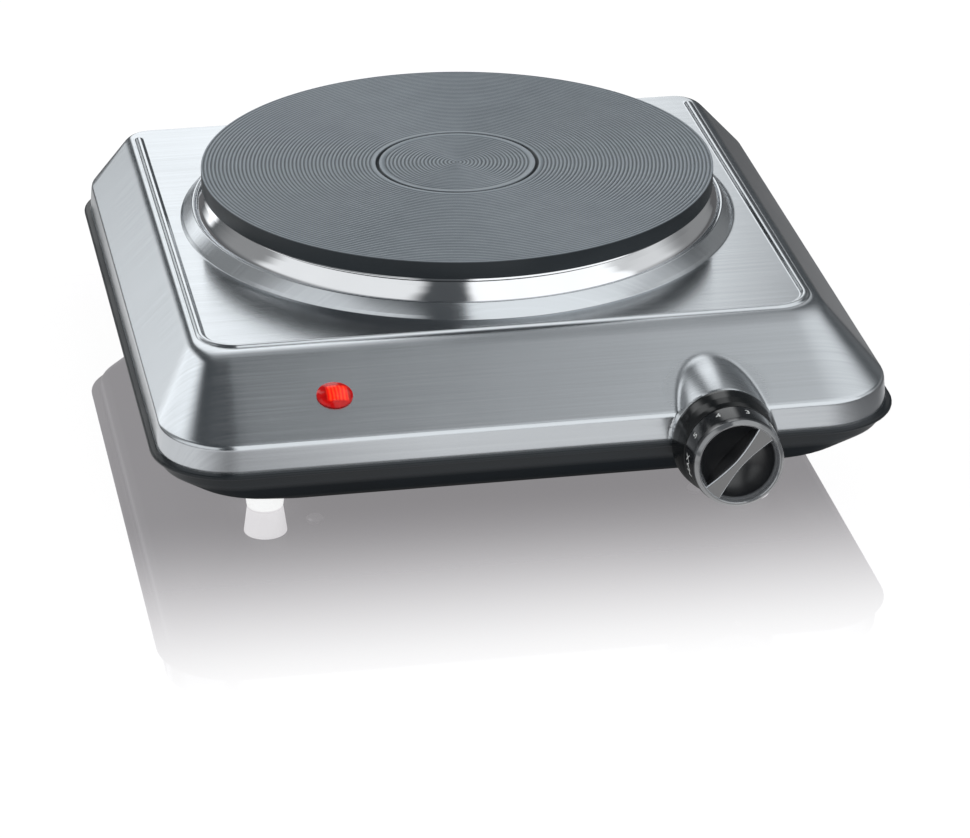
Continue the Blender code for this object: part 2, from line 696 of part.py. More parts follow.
# --------------------------------------------------------------------- control
def make_bezel(control):
    """Fixed conical sleeve between the boss and the knob."""
    inner = 0.0147
    floor = 0.0015
    profile = [
        (0.0152, BEZEL_DEPTH), (0.0158, BEZEL_DEPTH), (0.0165, BEZEL_DEPTH - 0.0017),
        (0.0172, BEZEL_DEPTH - 0.0052), (BEZEL_RADIUS, 0.0022), (BEZEL_RADIUS, 0.0010),
        (0.0171, GAP), (BUSHING_RADIUS + GAP, GAP), (BUSHING_RADIUS + GAP, floor),
        (inner, floor), (inner, BEZEL_DEPTH - 0.0006),
    ]
    turned("knob_bezel", profile, PARTS, "gloss_black", MEDIUM, ring=True, parent=control)


def make_knob(control):
    """Turning knob: numbered skirt, dished face and a waisted grip across the dish."""
    floor = 0.0140
    back = 0.0105
    hub = 0.0060
    hub_back = 0.0055
    profile = [
        (0.0, floor), (0.0092, floor), (0.0118, floor + 0.0022), (0.0129, floor + 0.0055),
        (0.0133, KNOB_FACE), (0.0138, KNOB_FACE), (0.0149, KNOB_FACE - 0.0011),
        (0.0153, KNOB_FACE - 0.0034), (KNOB_RADIUS, KNOB_BACK), (0.0143, KNOB_BACK),
        (0.0143, back), (hub, back), (hub, hub_back), (0.0, hub_back),
    ]
    knob = turned("control_knob", profile, PARTS, "gloss_black", MEDIUM, parent=control)
    combine(knob, grip_bar(control), "UNION")
    bore = d_section("knob_bore", SHAFT_RADIUS + BORE_CLEARANCE, SHAFT_FLAT + BORE_CLEARANCE,
                     hub_back - 0.002, 0.0122, CUTTERS, parent=control)
    combine(knob, bore, "DIFFERENCE")
    ring = c_outline(0.0063, 0.0071, math.radians(60))
    outlined("knob_spring_clip", ring, 0.0062, 0.0090, PARTS, "spring_steel", parent=control)


def grip_bar(control):
    """Grip across the dish, narrow in the middle and wide at its ends."""
    reach = 0.0131
    middle = 0.0018
    end = 0.0034
    steps = 6
    side = []
    for step in range(steps + 1):
        along = -1 + 2 * step / steps
        side.append((along * reach, middle + (end - middle) * along ** 2))
    outline = [(x, -y) for x, y in side] + list(reversed(side))
    return outlined("knob_grip", outline, 0.0130, KNOB_FACE - 0.0008, CUTTERS,
                    parent=control, turn=(0, 0, GRIP_ANGLE))


def d_section(name, radius, flat, low, high, collection, finish=None, **where):
    """Round bar with one flat, along local Z."""
    reach = math.acos(flat / radius)
    steps = 14
    outline = []
    for step in range(steps + 1):
        angle = reach + (math.tau - 2 * reach) * step / steps
        outline.append((radius * math.cos(angle), radius * math.sin(angle)))
    return outlined(name, outline, low, high, collection, finish, **where)


def c_outline(inner, outer, mouth):
    """Open ring seen along its axis, with its mouth to the left."""
    steps = 14
    span = math.tau - mouth
    angles = [-span / 2 + span * step / steps for step in range(steps + 1)]
    outside = [(outer * math.cos(a), outer * math.sin(a)) for a in angles]
    inside = [(inner * math.cos(a), inner * math.sin(a)) for a in reversed(angles)]
    return outside + inside


def make_regulator(control):
    """Regulator body with its bushing, nut, shaft, adjusting pin and contact spring."""
    body = block("thermostat_body", (-0.0150, -0.0090, -0.0340), (0.0150, 0.0090, -0.0140),
                 PARTS, "bakelite", bevel=0.0008, parent=control)
    bushing = rod("bushing", BUSHING_RADIUS, -0.0160, 0.0052, CUTTERS, sides=20, parent=control)
    shaft_bore = rod("shaft_bore", SHAFT_RADIUS + BORE_CLEARANCE, -0.0160, 0.0080, CUTTERS,
                     parent=control)
    pin_bore = rod("pin_bore", 0.0015, -0.0380, -0.0150, CUTTERS, sides=12, parent=control)
    combine(body, bushing, "UNION")
    combine(body, shaft_bore, "DIFFERENCE")
    combine(body, pin_bore, "DIFFERENCE")
    hex_nut("bushing_nut", 0.0080, BUSHING_RADIUS + GAP, 0.0018, 0.0048, PARTS, "brass",
            parent=control)
    shaft = d_section("control_shaft", SHAFT_RADIUS, SHAFT_FLAT, -0.0130, 0.0119, PARTS,
                      "zinc_steel", parent=control)
    smooth_round(shaft.data)
    rod("adjusting_pin", 0.0012, -0.0360, -0.0143, PARTS, "ceramic", sides=12, parent=control)
    make_contact_spring(control)


def make_contact_spring(control):
    """Leaf fixed behind the regulator, bent so that its free end meets the pin."""
    back = 0.0340 + GAP
    stand = 0.0370
    leaf = 0.0004
    outline = [(-0.0130, -back), (-0.0070, -back), (-0.0040, -stand), (0.0080, -stand),
               (0.0080, -stand - leaf), (-0.0042, -stand - leaf), (-0.0072, -back - leaf),
               (-0.0130, -back - leaf)]
    outlined("contact_spring", outline, -0.0030, 0.0030, PARTS, "brass", parent=control,
             turn=(math.radians(90), 0, 0))


def make_indicator(lamp):
    """Red lens in the sloping front, its glow lamp and the ring that holds it."""
    flange = 0.0009
    stem_inner = LAMP_STEM_RADIUS - 0.0010
    profile = [
        (0.0, 0.0022), (0.0030, 0.0019), (0.0050, 0.0013), (LAMP_RADIUS, flange),
        (LAMP_RADIUS, GAP), (LAMP_STEM_RADIUS, GAP), (LAMP_STEM_RADIUS, -0.0110),
        (stem_inner, -0.0110), (stem_inner, -0.0010), (0.0, -0.0004),
    ]
    turned("indicator_lens", profile, PARTS, "red_lens", 24, parent=lamp)
    glass = [(0.0, -0.0018), (0.0014, -0.0022), (0.0023, -0.0036), (0.0023, -0.0110),
             (0.0014, -0.0122), (0.0, -0.0122)]
    turned("indicator_lamp", glass, PARTS, "lamp_glass", 12, parent=lamp)
    ring = [(LAMP_STEM_RADIUS + GAP, -SHEET - GAP), (0.0075, -SHEET - GAP),
            (0.0075, -SHEET - 0.0015), (LAMP_STEM_RADIUS + GAP, -SHEET - 0.0015)]
    turned("lamp_retainer", ring, PARTS, "spring_steel", 16, ring=True, parent=lamp)


# ------------------------------------------------------------------- electrics
def make_terminal_blocks():
    block("plate_terminal_block", (-0.0140, PLATE_Y - 0.0520, 0.0470),
          (0.0140, PLATE_Y - 0.0380, 0.0632), PARTS, "ceramic", bevel=0.0008)
    block("mains_terminal_block", (0.0230, 0.1010, FLOOR_TOP + GAP),
          (0.0570, 0.1150, FLOOR_TOP + 0.0140), PARTS, "white_plastic", bevel=0.0008)


def make_earth_point():
    """Ring lug under a screw in the pan's floor."""
    low = FLOOR_TOP + GAP
    lug = c_outline(0.0021, 0.0046, math.radians(30))
    outlined("earth_lug", lug, low, low + 0.0008, PARTS, "brass", at=(*EARTH_PLACE, 0))
    top = low + 0.0008 + GAP
    profile = [(0.0, top + 0.0022), (0.0030, top + 0.0022), (0.0038, top + 0.0014),
               (0.0038, top), (0.0018, top), (0.0018, 0.0084), (0.0014, 0.0078),
               (0.0, 0.0078)]
    turned("earth_screw", profile, PARTS, "zinc_steel", 12, at=(*EARTH_PLACE, 0))


def make_wiring():
    """Insulated wires between the terminals, the regulator, the cut-out and the lamp."""
    wires = {
        "wire_live": ("brown_wire", [
            (0.0400, 0.1005, 0.0200), (0.0410, 0.0920, 0.0210), (0.0560, 0.0560, 0.0230),
            (0.0800, 0.0200, 0.0220), (0.0840, -0.0280, 0.0230), (0.0790, -0.0600, 0.0290),
            (0.0715, -0.0760, 0.0350), (0.0705, -0.0822, 0.0358)]),
        "wire_switched": ("brown_wire", [
            (0.0705, -0.0822, 0.0308), (0.0690, -0.0770, 0.0290), (0.0520, -0.0500, 0.0300),
            (0.0420, -0.0100, 0.0360), (0.0340, 0.0260, 0.0400), (0.0270, 0.0520, 0.0420),
            (0.0260, 0.0606, 0.0450), (0.0260, 0.0606, 0.0496)]),
        "wire_element_feed": ("white_wire", [
            (0.0340, 0.0606, 0.0496), (0.0345, 0.0600, 0.0450), (0.0330, 0.0480, 0.0445),
            (0.0200, 0.0160, 0.0420), (0.0100, -0.0040, 0.0410), (0.0080, -0.0084, 0.0440),
            (0.0080, -0.0084, 0.0466)]),
        "wire_neutral": ("blue_wire", [
            (0.0290, 0.1005, 0.0200), (0.0280, 0.0900, 0.0210), (0.0120, 0.0600, 0.0250),
            (-0.0080, 0.0200, 0.0320), (-0.0090, -0.0040, 0.0400), (-0.0080, -0.0084, 0.0440),
            (-0.0080, -0.0084, 0.0466)]),
        "wire_lamp_neutral": ("blue_wire", [
            (-0.0655, -0.0885, 0.0385), (-0.0640, -0.0840, 0.0340), (-0.0460, -0.0500, 0.0260),
            (-0.0240, 0.0100, 0.0200), (0.0100, 0.0700, 0.0160), (0.0300, 0.0930, 0.0150),
            (0.0340, 0.1005, 0.0150)]),
        "wire_lamp_live": ("white_wire", [
            (-0.0625, -0.0885, 0.0385), (-0.0560, -0.0880, 0.0350), (-0.0200, -0.0920, 0.0320),
            (0.0250, -0.0930, 0.0320), (0.0460, -0.0930, 0.0330)]),
        "wire_earth": ("earth_wire", [
            (0.0520, 0.1005, 0.0200), (0.0530, 0.0940, 0.0200), (0.0600, 0.0840, 0.0180),
            (0.0636, 0.0806, 0.0145), (0.0638, 0.0796, 0.0134)]),
    }
    for name, (finish, points) in wires.items():
        tube(name, smooth_route(points), WIRE_RADIUS, PARTS, finish)


# -------------------------------------------------------------------- assembly
clear_scene()
PARTS = new_collection("hot_plate_burner")
CUTTERS = new_collection("cutters")

plate_axis = add_empty("plate_axis", (0.0, PLATE_Y, 0.0))
control_axis = add_empty("control_axis", CONTROL_SEAT,
                         turn=(math.radians(90) - CONTROL_TILT, 0, 0))
lamp_axis = add_empty("lamp_axis", LAMP_SEAT, turn=(SLOPE_TILT, 0, 0))
gland_axis = add_empty("gland_axis", GLAND_PLACE, turn=(math.radians(-90), 0, 0))

make_hot_plate(plate_axis)
make_spill_ring(plate_axis)
make_heating_coil(plate_axis)
make_insulation_disc(plate_axis)
make_heat_shield(plate_axis)
make_plate_clamp(plate_axis)
make_thermal_cutout(plate_axis)
make_top_housing(plate_axis, control_axis, lamp_axis, gland_axis)
make_bottom_pan(control_axis)
make_feet()
make_posts()
make_cord_gland(gland_axis)
make_bezel(control_axis)
make_knob(control_axis)
make_regulator(control_axis)
make_indicator(lamp_axis)
make_terminal_blocks()
make_earth_point()
make_wiring()
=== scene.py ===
import json
import math

import bmesh
import bpy
import numpy as np
from mathutils import Matrix, Vector


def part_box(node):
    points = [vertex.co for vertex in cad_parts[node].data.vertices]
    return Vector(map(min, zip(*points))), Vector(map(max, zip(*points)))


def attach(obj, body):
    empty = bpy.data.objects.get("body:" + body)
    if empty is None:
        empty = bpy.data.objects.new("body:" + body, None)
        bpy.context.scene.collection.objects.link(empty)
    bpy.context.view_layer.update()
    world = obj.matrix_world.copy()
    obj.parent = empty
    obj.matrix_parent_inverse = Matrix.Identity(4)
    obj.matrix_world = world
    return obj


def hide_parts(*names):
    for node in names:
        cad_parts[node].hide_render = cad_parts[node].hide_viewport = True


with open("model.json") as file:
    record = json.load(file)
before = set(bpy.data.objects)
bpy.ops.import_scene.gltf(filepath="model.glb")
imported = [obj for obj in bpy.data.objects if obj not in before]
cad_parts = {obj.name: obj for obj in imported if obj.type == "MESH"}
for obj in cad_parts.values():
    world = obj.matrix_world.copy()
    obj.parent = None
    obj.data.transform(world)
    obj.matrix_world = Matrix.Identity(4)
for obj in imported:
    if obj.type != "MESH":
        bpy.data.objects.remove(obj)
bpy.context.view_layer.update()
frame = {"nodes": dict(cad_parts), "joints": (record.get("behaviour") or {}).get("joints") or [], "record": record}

# ------------------------------------------------------------------ sizes, in metres
SHEET = 0.0010                        # thickness of the pressed steel
FINE = 0.0003                         # clearance between neighbours

PLATE_LOW, PLATE_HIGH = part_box("hot_plate")
PLATE_RADIUS = PLATE_HIGH.x
PLATE_TOP = PLATE_HIGH.z
PLATE_Y = (PLATE_LOW.y + PLATE_HIGH.y) / 2
PLATE_SIDE = 0.0065
GROOVE_PITCH = 0.00136
GROOVE_DEPTH = 0.00020
RING_GROOVE = 0.0281                  # radius of the plate's middle ring

PANEL_Z = 0.0610
COLLAR = ((0.0900, 0.0640, 0.0), (0.0920, 0.0640, 0.0004), (0.0926, 0.0656, 0.00045),
          (0.0935, 0.0657, 0.0006), (0.0967, 0.0621, 0.0006), (0.0975, 0.0610, 0.0004),
          (0.0982, 0.0610, 0.0))

# half width, front y, back y, front corner radius, back corner radius, height
BEAD_LINE = np.array((0.1030, -0.0673, 0.1326, 0.0120, 0.0078, PANEL_Z))
SHOULDER_START = np.array((0.1050, -0.0695, 0.1328, 0.0122, 0.0070, PANEL_Z))
SHOULDER = np.array((0.1069, -0.0714, 0.1330, 0.0120, 0.0078, PANEL_Z))
SHOULDER_END = np.array((0.1085, -0.0765, 0.1334, 0.0134, 0.0090, 0.0594))
SKIRT_TOP = np.array((0.1217, -0.1140, 0.1381, 0.0245, 0.0215, 0.0463))
SKIRT_FOOT = np.array((0.1224, -0.1145, 0.1386, 0.0250, 0.0220, 0.0376))

PAN_FLOOR = np.array((0.0930, -0.0800, 0.1210, 0.0200, 0.0200, 0.0100))
PAN_BELLY = np.array((0.1110, -0.1020, 0.1310, 0.0235, 0.0210, 0.0215))
PAN_WALL_FOOT = np.array((0.1209, -0.1128, 0.1370, 0.0245, 0.0215, 0.0312))
PAN_WALL_TOP = np.array((0.1215, -0.1134, 0.1376, 0.0240, 0.0210, 0.0357))
PAN_LIP = np.array((0.1246, -0.1167, 0.1408, 0.0270, 0.0240, 0.0372))

SKIRT_ROWS = 16                       # rows down the skirt, which share one direction
BEAD_HEIGHT = 0.00080
BEAD_REACH = 0.0017                   # half width of the bead
BEAD_END = 0.1242                     # where its two arms end

BOSS_RADIUS = 0.0170
BOSS_FILLET = 0.0010
BOSS_RISE = 0.23                      # rise of the boss's ridge towards the slope
BOSS_BOW = 4.8                        # and how fast the ridge levels off
BOSS_MIDDLE = (0.0615, -0.1040, 0.0480)
BOSS_EDGE = (0.0162, 0.0190)          # where its finish turns into the sheet's, from its middle
PAD_RADIUS = 0.0095                   # round pad that the cord gland sits in

LAMP_PLACE = (-0.0639, -0.0944, 0.0530)
LAMP_HOLE = 0.0049
GLAND_Y = 0.1388
GLAND_HOLE = 0.0055
BUSHING_HOLE = 0.0053
GRIP_ANGLE = math.radians(47)
POINTER_ANGLE = math.radians(158.5)

# ------------------------------------------------------------------ places, from the frame
HEAT_CONTROL = next(j for j in frame["joints"] if j["name"] == "heat_control")
KNOB_OUT = -Vector(HEAT_CONTROL["axis"]).normalized()
SLOPE_TILT = math.atan2(SHOULDER_END[5] - SKIRT_TOP[5], SHOULDER_END[1] - SKIRT_TOP[1])


def axes_at(place, outward):
    """Matrix whose Z points outward and whose X stays the appliance's X."""
    x = Vector((1, 0, 0))
    z = Vector(outward).normalized()
    turn = Matrix((x, z.cross(x), z)).transposed().to_4x4()
    return Matrix.Translation(place) @ turn


def middle(node):
    low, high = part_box(node)
    return (low + high) / 2


PLATE_AXIS = Matrix.Translation((0, PLATE_Y, 0))
CONTROL = axes_at(HEAT_CONTROL["pos_m"], KNOB_OUT)
LAMP = axes_at(LAMP_PLACE, (0, -math.sin(SLOPE_TILT), math.cos(SLOPE_TILT)))
GLAND = Matrix.Translation((middle("cord_gland").x, GLAND_Y, middle("cord_gland").z))
GLAND = GLAND @ Matrix.Rotation(math.radians(-90), 4, "X")


# ------------------------------------------------------------------ shader nodes
class Nodes:
    """A node tree, with short names for the nodes that the finishes and the studio share."""

    def __init__(self, tree):
        self.tree = tree

    def node(self, kind, inputs=(), **settings):
        """New node; each input is a value, or an output to link from."""
        made = self.tree.nodes.new(kind)
        for key, value in settings.items():
            setattr(made, key, value)
        for socket, value in dict(inputs).items():
            if isinstance(value, bpy.types.NodeSocket):
                self.tree.links.new(value, made.inputs[socket])
            else:
                made.inputs[socket].default_value = value
        return made

    def math(self, operation, *values):
        return self.node("ShaderNodeMath", dict(enumerate(values)), operation=operation).outputs[0]

    def vector(self, operation, one, other=None):
        """Vector math, which gives a number for a length, a distance or a dot product."""
        inputs = {0: one}
        if other is not None:
            inputs["Scale" if operation == "SCALE" else 1] = other
        made = self.node("ShaderNodeVectorMath", inputs, operation=operation)
        is_number = operation in ("LENGTH", "DISTANCE", "DOT_PRODUCT")
        return made.outputs["Value" if is_number else "Vector"]

    def where(self, source="Object"):
        return self.node("ShaderNodeTexCoord").outputs[source]

    def axes(self, vector):
        return self.node("ShaderNodeSeparateXYZ", {0: vector}).outputs

    def blend(self, share, one, other):
        return self.node("ShaderNodeMixRGB", {0: share, 1: one, 2: other}).outputs[0]

    def spread(self, value, low, high, start=0.3, end=0.7, **settings):
        """The value, from start to end, mapped to low to high."""
        return self.node("ShaderNodeMapRange", {
            "Value": value, "From Min": start, "From Max": end, "To Min": low, "To Max": high},
            **settings).outputs[0]

    def fade_out(self, value, start, end):
        """1 before start and 0 past end, with a smooth change between them."""
        return self.spread(value, 1.0, 0.0, start, end, interpolation_type="SMOOTHSTEP")


class Finish(Nodes):
    """A material on the Principled shader."""

    def __init__(self, name, colour, roughness, metallic=0.0, **sockets):
        self.material = bpy.data.materials.new(name)
        self.material.use_nodes = True
        super().__init__(self.material.node_tree)
        self.shader = self.tree.nodes["Principled BSDF"]
        self.set("Base Color", (*colour, 1.0))
        self.set("Roughness", roughness)
        self.set("Metallic", metallic)
        for socket, value in sockets.items():
            self.set(socket.replace("_", " "), value)

    def set(self, socket, value):
        self.shader.inputs[socket].default_value = value

    def link(self, output, socket):
        self.tree.links.new(output, self.shader.inputs[socket])

    def noise(self, scale, detail=3.0, stretch=(1, 1, 1), source="Object", roughness=0.5):
        stretched = self.node("ShaderNodeMapping", {"Vector": self.where(source), "Scale": stretch})
        return self.node("ShaderNodeTexNoise", {
            "Vector": stretched.outputs[0], "Scale": scale, "Detail": detail,
            "Roughness": roughness}).outputs["Fac"]

    def shades(self, value, dark, light, start=0.3, end=0.7):
        ramp = self.node("ShaderNodeValToRGB", {"Fac": value})
        for element, position, colour in zip(ramp.color_ramp.elements, (start, end), (dark, light)):
            element.position = position
            element.color = (*colour, 1.0)
        return ramp.outputs["Color"]

    def bump(self, height, depth, strength):
        self.link(self.node("ShaderNodeBump", {"Height": height, "Distance": depth,
                                               "Strength": strength}).outputs["Normal"], "Normal")


def scaled(colour, factor):
    return tuple(min(1.0, c * factor) for c in colour)


def brushed_steel():
    """Stainless sheet, brushed along the blank's width, but even and duller on the boss."""
    base = (0.575, 0.60, 0.625)
    finish = Finish("brushed_stainless", base, 0.18, 1.0)
    lines = finish.noise(1.0, 3.0, (3000, 16, 1), "UV", 0.65)
    broad = finish.noise(1.0, 2.0, (900, 6, 1), "UV")
    cloud = finish.noise(38.0, 3.0)
    from_boss = finish.vector("DISTANCE", finish.where(), BOSS_MIDDLE)
    pressed = finish.spread(from_boss, 1.0, 0.0, *BOSS_EDGE)
    finish.link(finish.shades(broad, scaled(base, 0.965), scaled(base, 1.025)), "Base Color")
    rough = finish.math("ADD", finish.spread(lines, 0.13, 0.21), finish.spread(cloud, 0.0, 0.03))
    finish.link(finish.math("MULTIPLY_ADD", pressed, 0.11, rough), "Roughness")
    finish.link(finish.spread(pressed, 0.75, 0.10, 0.0, 1.0), "Anisotropic")
    finish.bump(lines, 0.000007, 0.4)
    tangent = finish.node("ShaderNodeTangent", direction_type="UV_MAP", uv_map="brushing")
    finish.link(tangent.outputs[0], "Tangent")
    return finish.material


def chrome():
    base = (0.83, 0.835, 0.85)
    finish = Finish("chromed_steel", base, 0.07, 1.0)
    haze = finish.noise(60.0, 3.0)
    finish.link(finish.shades(haze, scaled(base, 0.96), base), "Base Color")
    finish.link(finish.spread(haze, 0.05, 0.11), "Roughness")
    finish.bump(finish.noise(160.0, 2.0), 0.00001, 0.3)
    return finish.material


def cast_iron():
    """Turned cast plate under a thin dark protective coat, with painted shade in its grooves and a side painted
    near black as painted shade.
    """
    dark = (0.235, 0.268, 0.298)
    light = (0.285, 0.320, 0.352)
    # painted shade: the plate's side is coloured near black
    side = (0.020, 0.026, 0.031, 1)
    finish = Finish("cast_iron", dark, 0.42, 0.35)
    mottle = finish.noise(90.0, 5.0, roughness=0.6)
    height = finish.axes(finish.where())["Z"]
    faced = finish.spread(height, 0.0, 1.0, PLATE_TOP - 0.00045, PLATE_TOP - 0.00030)
    # painted shade: the colour darkens towards the bottom of each groove and is a little lighter on the lands
    groove = finish.spread(height, 0.42, 1.06, PLATE_TOP - GROOVE_DEPTH, PLATE_TOP)
    top = finish.vector("SCALE", finish.shades(mottle, dark, light), groove)
    finish.link(finish.blend(faced, side, top), "Base Color")
    finish.link(finish.spread(mottle, 0.36, 0.46), "Roughness")
    finish.bump(finish.noise(2600.0, 2.0), 0.00003, 0.4)
    return finish.material


def satin_enamel():
    """Black enamel whose sloping belly reflects far less than its upright wall: painted shade beneath the
    appliance.
    """
    base = (0.0055, 0.0090, 0.0125)
    finish = Finish("black_enamel", base, 0.36, 0.0, Specular_IOR_Level=0.22)
    cloud = finish.noise(25.0, 3.0)
    finish.link(finish.shades(cloud, scaled(base, 0.85), scaled(base, 1.2)), "Base Color")
    finish.link(finish.spread(cloud, 0.34, 0.43), "Roughness")
    height = finish.axes(finish.where())["Z"]
    # painted shade: the reflection fades out down the belly
    finish.link(finish.spread(height, 0.06, 0.42, 0.0285, 0.0316), "Specular IOR Level")
    finish.bump(finish.noise(700.0, 2.0), 0.00003, 0.35)
    return finish.material


def moulded(name, colour, rough, grain_depth=0.00002, grain=900.0, **sockets):
    """Moulded plastic, rubber or ceramic with a fine grain and slightly uneven gloss."""
    finish = Finish(name, colour, rough, 0.0, **sockets)
    cloud = finish.noise(70.0, 4.0)
    finish.link(finish.shades(cloud, scaled(colour, 0.9), scaled(colour, 1.06)), "Base Color")
    finish.link(finish.spread(cloud, rough * 0.85, rough * 1.18), "Roughness")
    finish.bump(finish.noise(grain, 2.0), grain_depth, 0.5)
    return finish.material


def plated(name, colour, rough, grain=1400.0, depth=0.00002, spots=0.88):
    """Plated or bare metal with faint staining and fine scratches."""
    finish = Finish(name, colour, rough, 1.0)
    stain = finish.noise(160.0, 4.0, roughness=0.6)
    scratch = finish.noise(grain, 3.0, (1, 1, 0.2))
    finish.link(finish.shades(stain, scaled(colour, spots), scaled(colour, 1.04)), "Base Color")
    finish.link(finish.spread(stain, rough * 0.8, rough * 1.3), "Roughness")
    finish.bump(scratch, depth, 0.5)
    return finish.material


def braided(name, colour):
    """Woven glass sleeve of the wires that run near the heat."""
    finish = Finish(name, colour, 0.8, 0.0, Sheen_Weight=0.2)
    weave = finish.noise(2400.0, 1.0)
    finish.link(finish.shades(weave, scaled(colour, 0.75), colour), "Base Color")
    finish.bump(weave, 0.0001, 0.6)
    return finish.material


def red_lens():
    """Clear red plastic over the lamp, whose square reflector shows through as a brighter patch."""
    finish = Finish("red_lens", (0.30, 0.006, 0.006), 0.12, 0.0, Specular_IOR_Level=0.3)
    local = finish.node("ShaderNodeMapping", {
        "Vector": finish.where(), "Location": LAMP.translation, "Rotation": LAMP.to_euler()},
        vector_type="TEXTURE").outputs[0]
    place = finish.axes(local)
    near = []
    for axis, centre in (("X", 0.0007), ("Y", -0.0003)):
        away = finish.math("ABSOLUTE", finish.math("SUBTRACT", place[axis], centre))
        near.append(finish.spread(away, 1.0, 0.0, 0.0028, 0.0038))
    ribs = finish.node("ShaderNodeTexWave", {"Vector": local, "Scale": 260.0, "Distortion": 2.0,
                                             "Detail": 1.0}).outputs["Fac"]
    bright = finish.shades(ribs, (0.86, 0.010, 0.005), (1.0, 0.050, 0.012), 0.1, 0.9)
    dark = finish.shades(finish.noise(500.0), (0.30, 0.002, 0.003), (0.46, 0.004, 0.004))
    mixed = finish.blend(finish.math("MULTIPLY", *near), dark, bright)
    finish.link(mixed, "Base Color")
    finish.link(mixed, "Emission Color")
    finish.set("Emission Strength", 0.5)
    return finish.material


def knob_plastic():
    """Black moulding: satin skirt, polished face, and rim and grip whose edges carry a painted highlight in bright
    grey, part metallic.
    """
    base = (0.014, 0.015, 0.017)
    # painted highlight colour for the edges of the rim and grip
    bare = (0.55, 0.57, 0.60, 1)
    finish = Finish("knob_black", base, 0.14, 0.0, IOR=1.75, Coat_Roughness=0.06)
    away = finish.vector("SUBTRACT", finish.where(), CONTROL.translation)
    radius = finish.vector("LENGTH", finish.vector("CROSS_PRODUCT", away, KNOB_OUT))
    height = finish.vector("DOT_PRODUCT", away, KNOB_OUT)
    face = finish.spread(radius, 1.0, 0.0, 0.0148, 0.0153)
    raised_part = finish.spread(height, 0.0, 1.0, 0.0200, 0.0216)
    polished = finish.math("MULTIPLY", face, raised_part)
    dish = finish.math("SUBTRACT", face, polished)
    normal = finish.node("ShaderNodeNewGeometry").outputs["Normal"]
    facing = finish.vector("DOT_PRODUCT", normal, KNOB_OUT)
    edge = finish.math("MULTIPLY", finish.spread(facing, 1.0, 0.0, 0.88, 0.97),
                       finish.spread(facing, 0.0, 1.0, 0.10, 0.30))
    inner = finish.spread(radius, 1.0, 0.22, 0.0131, 0.0135)
    # painted highlight: mask of the rim's and grip's edges, made bright grey and part metallic
    edge_highlight = finish.math("MULTIPLY", finish.math("MULTIPLY", edge, polished), inner)
    finish.link(finish.math("MULTIPLY", edge_highlight, 0.70), "Metallic")
    cloud = finish.noise(70.0, 4.0)
    body = finish.shades(cloud, scaled(base, 0.9), scaled(base, 1.06))
    finish.link(finish.blend(edge_highlight, body, bare), "Base Color")
    rough = finish.spread(cloud, 0.12, 0.17)
    finish.link(finish.math("MULTIPLY_ADD", dish, 0.16, rough), "Roughness")
    shine = finish.math("MULTIPLY_ADD", face, 0.30, 0.16)
    finish.link(finish.math("MULTIPLY_ADD", polished, 0.60, shine), "Specular IOR Level")
    finish.link(polished, "Coat Weight")
    finish.bump(finish.noise(600.0, 2.0), 0.000006, 0.5)
    return finish.material


def printed_white():
    finish = Finish("white_print", (0.86, 0.87, 0.86), 0.45)
    speck = finish.noise(3000.0, 2.0)
    finish.link(finish.shades(speck, (0.72, 0.73, 0.72), (0.90, 0.91, 0.90)), "Base Color")
    return finish.material


FINISHES = {
    "brushed_stainless": brushed_steel(),
    "chromed_steel": chrome(),
    "cast_iron": cast_iron(),
    "black_enamel": satin_enamel(),
    "gloss_black": moulded("gloss_black", (0.014, 0.015, 0.017), 0.14, 0.000006, 600.0,
                           Specular_IOR_Level=1.0, Coat_Weight=1.0, Coat_Roughness=0.06),
    "knob_black": knob_plastic(),
    "sleeve_black": moulded("sleeve_black", (0.008, 0.009, 0.010), 0.17, 0.000006, 600.0,
                            Specular_IOR_Level=0.3),
    # the white rubber glows: painted light that brightens the feet
    "white_rubber": moulded("white_rubber", (0.90, 0.90, 0.89), 0.55, 0.00003,
                            Emission_Color=(1, 1, 1, 1), Emission_Strength=0.68),
    "red_lens": red_lens(),
    "white_print": printed_white(),
    "lamp_glass": moulded("lamp_glass", (0.90, 0.45, 0.25), 0.08, 0.000005, 300.0,
                          Transmission_Weight=0.6),
    "zinc_steel": plated("zinc_steel", (0.60, 0.61, 0.63), 0.30),
    "spring_steel": plated("spring_steel", (0.42, 0.43, 0.46), 0.28),
    "aluminised_steel": plated("aluminised_steel", (0.68, 0.69, 0.69), 0.42, 500.0),
    "heating_alloy": plated("heating_alloy", (0.22, 0.17, 0.14), 0.55, 2000.0, 0.00006, 0.6),
    "ceramic": moulded("ceramic", (0.80, 0.76, 0.68), 0.85, 0.00008, 1200.0),
    "bakelite": moulded("bakelite", (0.045, 0.030, 0.026), 0.40, 0.00002),
    "white_plastic": moulded("white_plastic", (0.78, 0.78, 0.75), 0.45),
    "brass": plated("brass", (0.72, 0.52, 0.22), 0.28, 1400.0, 0.00002, 0.8),
    "brown_wire": moulded("brown_wire", (0.16, 0.06, 0.025), 0.5),
    "blue_wire": moulded("blue_wire", (0.02, 0.07, 0.33), 0.5),
    "earth_wire": moulded("earth_wire", (0.20, 0.42, 0.04), 0.5),
    "white_wire": braided("white_wire", (0.72, 0.70, 0.64)),
}


# ------------------------------------------------------------------ mesh helpers
def placed(name, data):
    """New object in the scene."""
    made = bpy.data.objects.new(name, data)
    bpy.context.scene.collection.objects.link(made)
    return made


def show(name, mesh, finish, body="base", stands_for=()):
    """A finished piece: its object, material, body, slot and the node it replaces."""
    piece = placed(name, mesh)
    if not mesh.materials:
        mesh.materials.append(FINISHES[finish])
    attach(piece, body)
    if stands_for:
        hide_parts(*stands_for)
    return piece


def smoothed(mesh, angle=32):
    mesh.shade_smooth()
    mesh.set_sharp_from_angle(angle=math.radians(angle))
    return mesh


